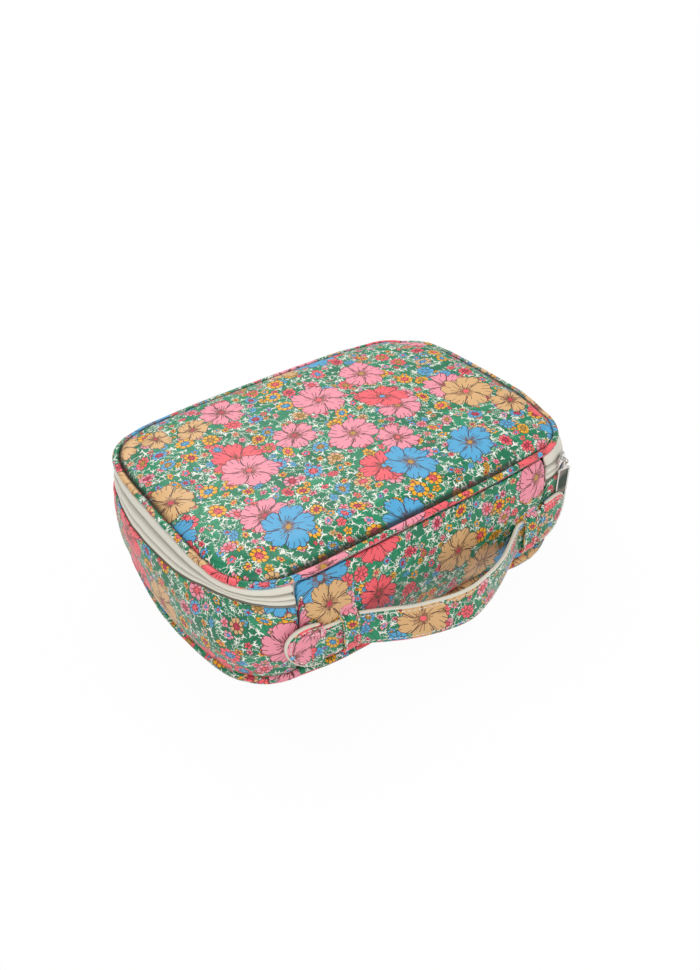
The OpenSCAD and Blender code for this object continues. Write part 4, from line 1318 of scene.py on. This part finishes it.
# Outline of an end tab: rounded shoulders and a round far end, from the lower shoulder round
def tabOutline(side, inset):
    radius = tabShape["height"] / 2
    reach = tabShape["length"][side] - radius
    r, c = radius - inset, max(0.4, tabShape["corner"] - inset)
    parts = []
    for centre, rad, a0, a1, count in (
            ((inset + c, -r + c), c, 180, 270, 6), ((reach, 0), r, -90, 90, 44), ((inset + c, r - c), c, 90, 180, 6)):
        a = np.radians(np.linspace(a0, a1, count))
        parts.append(np.stack([centre[0] + rad * np.cos(a), centre[1] + rad * np.sin(a)], 1))
    return np.concatenate(parts)


def makeTab(side, body, edgeNode):
    s, t, name = strapShape, tabShape, strapShape["sideNames"][side]
    half = s["thick"] / 2

    def place(flat, deep):
        across, up = flat[:, 0], flat[:, 1]
        x = side * (t["shoulder"][side] + across)
        y = s["midY"] + t["curl"][side] * across ** 2 - deep - t["lean"] * up
        return np.stack([x, y, s["z"] + up + strapRise(side, x)], -1)

    front = [place(tabOutline(side, inset), puff * half / 1.2) for inset, puff in zip(t["insets"], t["puff"])]
    back = [place(tabOutline(side, inset), -puff * t["backPuff"] * half / 1.2)
            for inset, puff in zip(t["insets"], t["puff"])]
    coords = np.array(front[::-1] + back)
    n, m = coords.shape[:2]
    faces = gridFaces(n, m, False, True) + [list(range(m)), [(n - 1) * m + j for j in range(m)]]
    flat = coords.reshape(-1, 3)
    uvs = [(flat[k][0] + t["printShift"], flat[k][2]) for face in faces for k in face]
    tab = finishMesh(f"tab{name}", flat, faces, uvs, strapPrint)
    smoothEdges(tab)
    settle(tab, body, "print_strap", body)
    # the rolled edge runs from one shoulder round the far end to the other
    ring = tabOutline(side, t["edgeInset"])[5:-5]
    follow = directions(ring)
    outward = np.stack([follow[:, 1], -follow[:, 0]], 1) * t["edgeRadius"]
    turns = np.linspace(0, 2 * math.pi, t["edgeSides"], endpoint=False)
    rim = np.stack([place(ring + outward * math.cos(a), (half + 0.12) * math.sin(a)) for a in turns], 1)
    edge = gridPiece(f"tabEdge{name}", rim, np.linspace(0, 95, len(ring)), np.linspace(0, 6, len(turns) + 1),
                     creamEdge)
    smoothEdges(edge)
    settle(edge, body, "edging", edgeNode)
    inner = tabOutline(side, s["stitchInset"])
    inner = np.concatenate([inner, inner[:1]])
    outward = np.tile([0.0, -1.0, 0.0], (len(inner), 1))
    makeStitches(f"tabStitches{name}", [(place(inner, half + 0.02), outward)], body)


makeTab(-1, "tab_left", "tab_edging_left")
makeTab(1, "tab_right", "tab_edging_right")

loopShape = {"thick": 1.3, "footLow": 1.0, "footHigh": 3.4, "footRise": 2.4, "tuckedUnder": 3, "gap": 0.4,
             "slotGap": 0.4, "faceGap": 0.5, "stitchInset": 1.7, "twist": {-1: 0.6, 1: 2.2}, "narrowing": 0.05}


# Keeper loop: a band from one sewn foot, over the strap, to the other
def makeLoop(side, body, node):
    s, l, name = strapShape, loopShape, strapShape["sideNames"][side]
    slotHalf = s["width"] / 2 + l["gap"] + l["slotGap"]
    face = -s["midY"] + s["thick"] / 2 + l["faceGap"] + l["gap"] + l["thick"] / 2
    low, high, rise = s["z"] - slotHalf, s["z"] + slotHalf, l["footRise"]
    footLow, footHigh = low - rise - l["footLow"], high + rise + l["footHigh"]

    def onWall(z):
        return frontY + wallOut(z) + l["thick"] / 2 - 0.1, z

    keys = [onWall(footLow - l["tuckedUnder"]), onWall(footLow), onWall(low - rise),
            (face - 4.6, low - 1.3), (face - 1.3, low + 0.1), (face, low + 3.6), (face + 0.3, s["z"]),
            (face, high - 3.6), (face - 1.3, high - 0.1), (face - 4.6, high + 1.3),
            onWall(high + rise), onWall(footHigh), onWall(footHigh + l["tuckedUnder"])]
    path = smoothThrough(keys, 1.4)
    tangent = directions(path)
    outward = np.stack([tangent[:, 1], -tangent[:, 0]], 1)
    half, thick = s["loopWidth"] / 2, l["thick"] / 2
    line = [(-half + 0.5, thick), (-half + 1.7, thick - 0.12), (-half * 0.5, thick + 0.12), (half * 0.5, thick + 0.12),
            (half - 1.7, thick - 0.12), (half - 0.5, thick), (half, thick * 0.4), (half, -thick * 0.4),
            (half - 0.5, -thick), (0, -thick), (-half + 0.5, -thick), (-half, -thick * 0.4), (-half, thick * 0.4)]
    centre = s["x"] + side * s["pitch"] / 2

    # pulled askew by the strap, and a little narrower where it turns
    def place(k, across, out):
        p, n = path[k], outward[k]
        reach = (p[0] - frontY - 5) / 12
        skew = l["twist"][side] * -side * reach * 0.4
        return centre + skew + across * (1 - l["narrowing"] * reach), -(p[0] + n[0] * out), p[1] + n[1] * out

    coords = np.array([[place(k, a, b) for a, b in line] for k in range(len(path))])
    loop = gridPiece(f"loop{name}", coords, lengthsAlong(path), lengthsAlong(np.array(line), True), loopPrint)
    smoothEdges(loop)
    paths = [(np.array([place(k, a, thick - 0.02) for k in range(len(path))]),
              np.stack([np.zeros(len(path)), -outward[:, 0], outward[:, 1]], 1))
             for a in (-half + l["stitchInset"], half - l["stitchInset"])]
    makeStitches(f"loopStitches{name}", paths, body, long=2.0, gap=0.7)
    settle(loop, body, "print_strap", node)


makeLoop(-1, "case", "loop_left")
makeLoop(1, "case", "loop_right")
print("handle: done")

stageSetup = {"floor": 24.0, "floorColour": (0.93, 0.93, 0.93, 1), "floorLift": 0.95, "fade": (0.2, 0.5),
              "world": 0.40, "target": (0, 0, 0.04),
              "lights": {"keyLight": ((-0.55, -0.75, 0.95), (0.7, 0.7), 7.0),
                         "fillLight": ((0.95, -0.35, 0.55), (0.8, 0.8), 2.2),
                         "topLight": ((0.15, 0.75, 1.0), (1.0, 0.6), 7.5)}}


def makeFloor():
    size = stageSetup["floor"] / 2
    mesh = bpy.data.meshes.new("floor")
    mesh.from_pydata([(-size, -size, 0), (size, -size, 0), (size, size, 0), (-size, size, 0)], [], [(0, 1, 2, 3)])
    floor = addObject("floor", mesh)
    material, tree, shader = newMaterial("paleFloor", Base_Color=stageSetup["floorColour"], Roughness=0.9)
    lift = addNode(tree, "ShaderNodeEmission", {"Color": (1, 1, 1, 1), "Strength": 1.0})
    path = addNode(tree, "ShaderNodeLightPath").outputs
    away = vectorLength(addNode(tree, "ShaderNodeNewGeometry").outputs["Position"])
    lifted = band(away, *stageSetup["fade"], stageSetup["floorLift"], 1.0)
    share = times(calc("MAXIMUM", path["Is Camera Ray"], path["Is Glossy Ray"]), lifted)
    mix = addNode(tree, "ShaderNodeMixShader", {0: share, 1: shader.outputs[0], 2: lift.outputs[0]})
    tree.links.new(mix.outputs[0], tree.nodes["Material Output"].inputs["Surface"])
    mesh.materials.append(material)


def makeWorld():
    world = bpy.data.worlds.new("studio")
    bpy.context.scene.world = world
    world.use_nodes = True
    tree = world.node_tree
    back = tree.nodes["Background"]
    path = addNode(tree, "ShaderNodeLightPath").outputs
    seen = calc("MAXIMUM", path["Is Camera Ray"], path["Is Transmission Ray"])
    back.inputs["Color"].default_value = (1, 1, 1, 1)
    tree.links.new(band(seen, 0.0, 1.0, stageSetup["world"], 1.0), back.inputs["Strength"])


def makeLight(name, place, size, power):
    lamp = bpy.data.lights.new(name, "AREA")
    lamp.shape = "RECTANGLE"
    lamp.size, lamp.size_y = size
    lamp.energy = power
    light = addObject(name, lamp)
    light.location = place
    aim = Vector(stageSetup["target"]) - Vector(place)
    light.rotation_euler = aim.to_track_quat("-Z", "Y").to_euler()


makeFloor()
makeWorld()
for name, setup in stageSetup["lights"].items():
    makeLight(name, *setup)

cameraSetup = {"azimuth": -34.28, "elevation": 38.18, "roll": -1.61, "shiftX": -5.35, "shiftY": -34.44,
               "distance": 585.16, "focal": 839.1, "frameHeight": 970, "sensor": 36}


def makeCamera():
    c = cameraSetup
    az, el, roll = (math.radians(c[k]) for k in ("azimuth", "elevation", "roll"))
    back = Vector((math.sin(az) * math.cos(el), -math.cos(az) * math.cos(el), math.sin(el)))
    right = Vector((math.cos(az), math.sin(az), 0))
    up = back.cross(right)
    rolledRight = right * math.cos(roll) + up * math.sin(roll)
    rolledUp = up * math.cos(roll) - right * math.sin(roll)
    place = back * c["distance"] - rolledRight * c["shiftX"] - rolledUp * c["shiftY"]
    lens = bpy.data.cameras.new("camera")
    lens.sensor_width = c["sensor"]
    lens.lens = c["focal"] * c["sensor"] / c["frameHeight"]
    lens.clip_start = 0.01
    camera = addObject("camera", lens)
    turn = Matrix((rolledRight, rolledUp, back)).transposed()
    camera.matrix_world = Matrix.Translation(place * mm) @ turn.to_4x4()
    bpy.context.scene.camera = camera


makeCamera()
bpy.context.scene.view_settings.view_transform = "Standard"
print("stage: done")
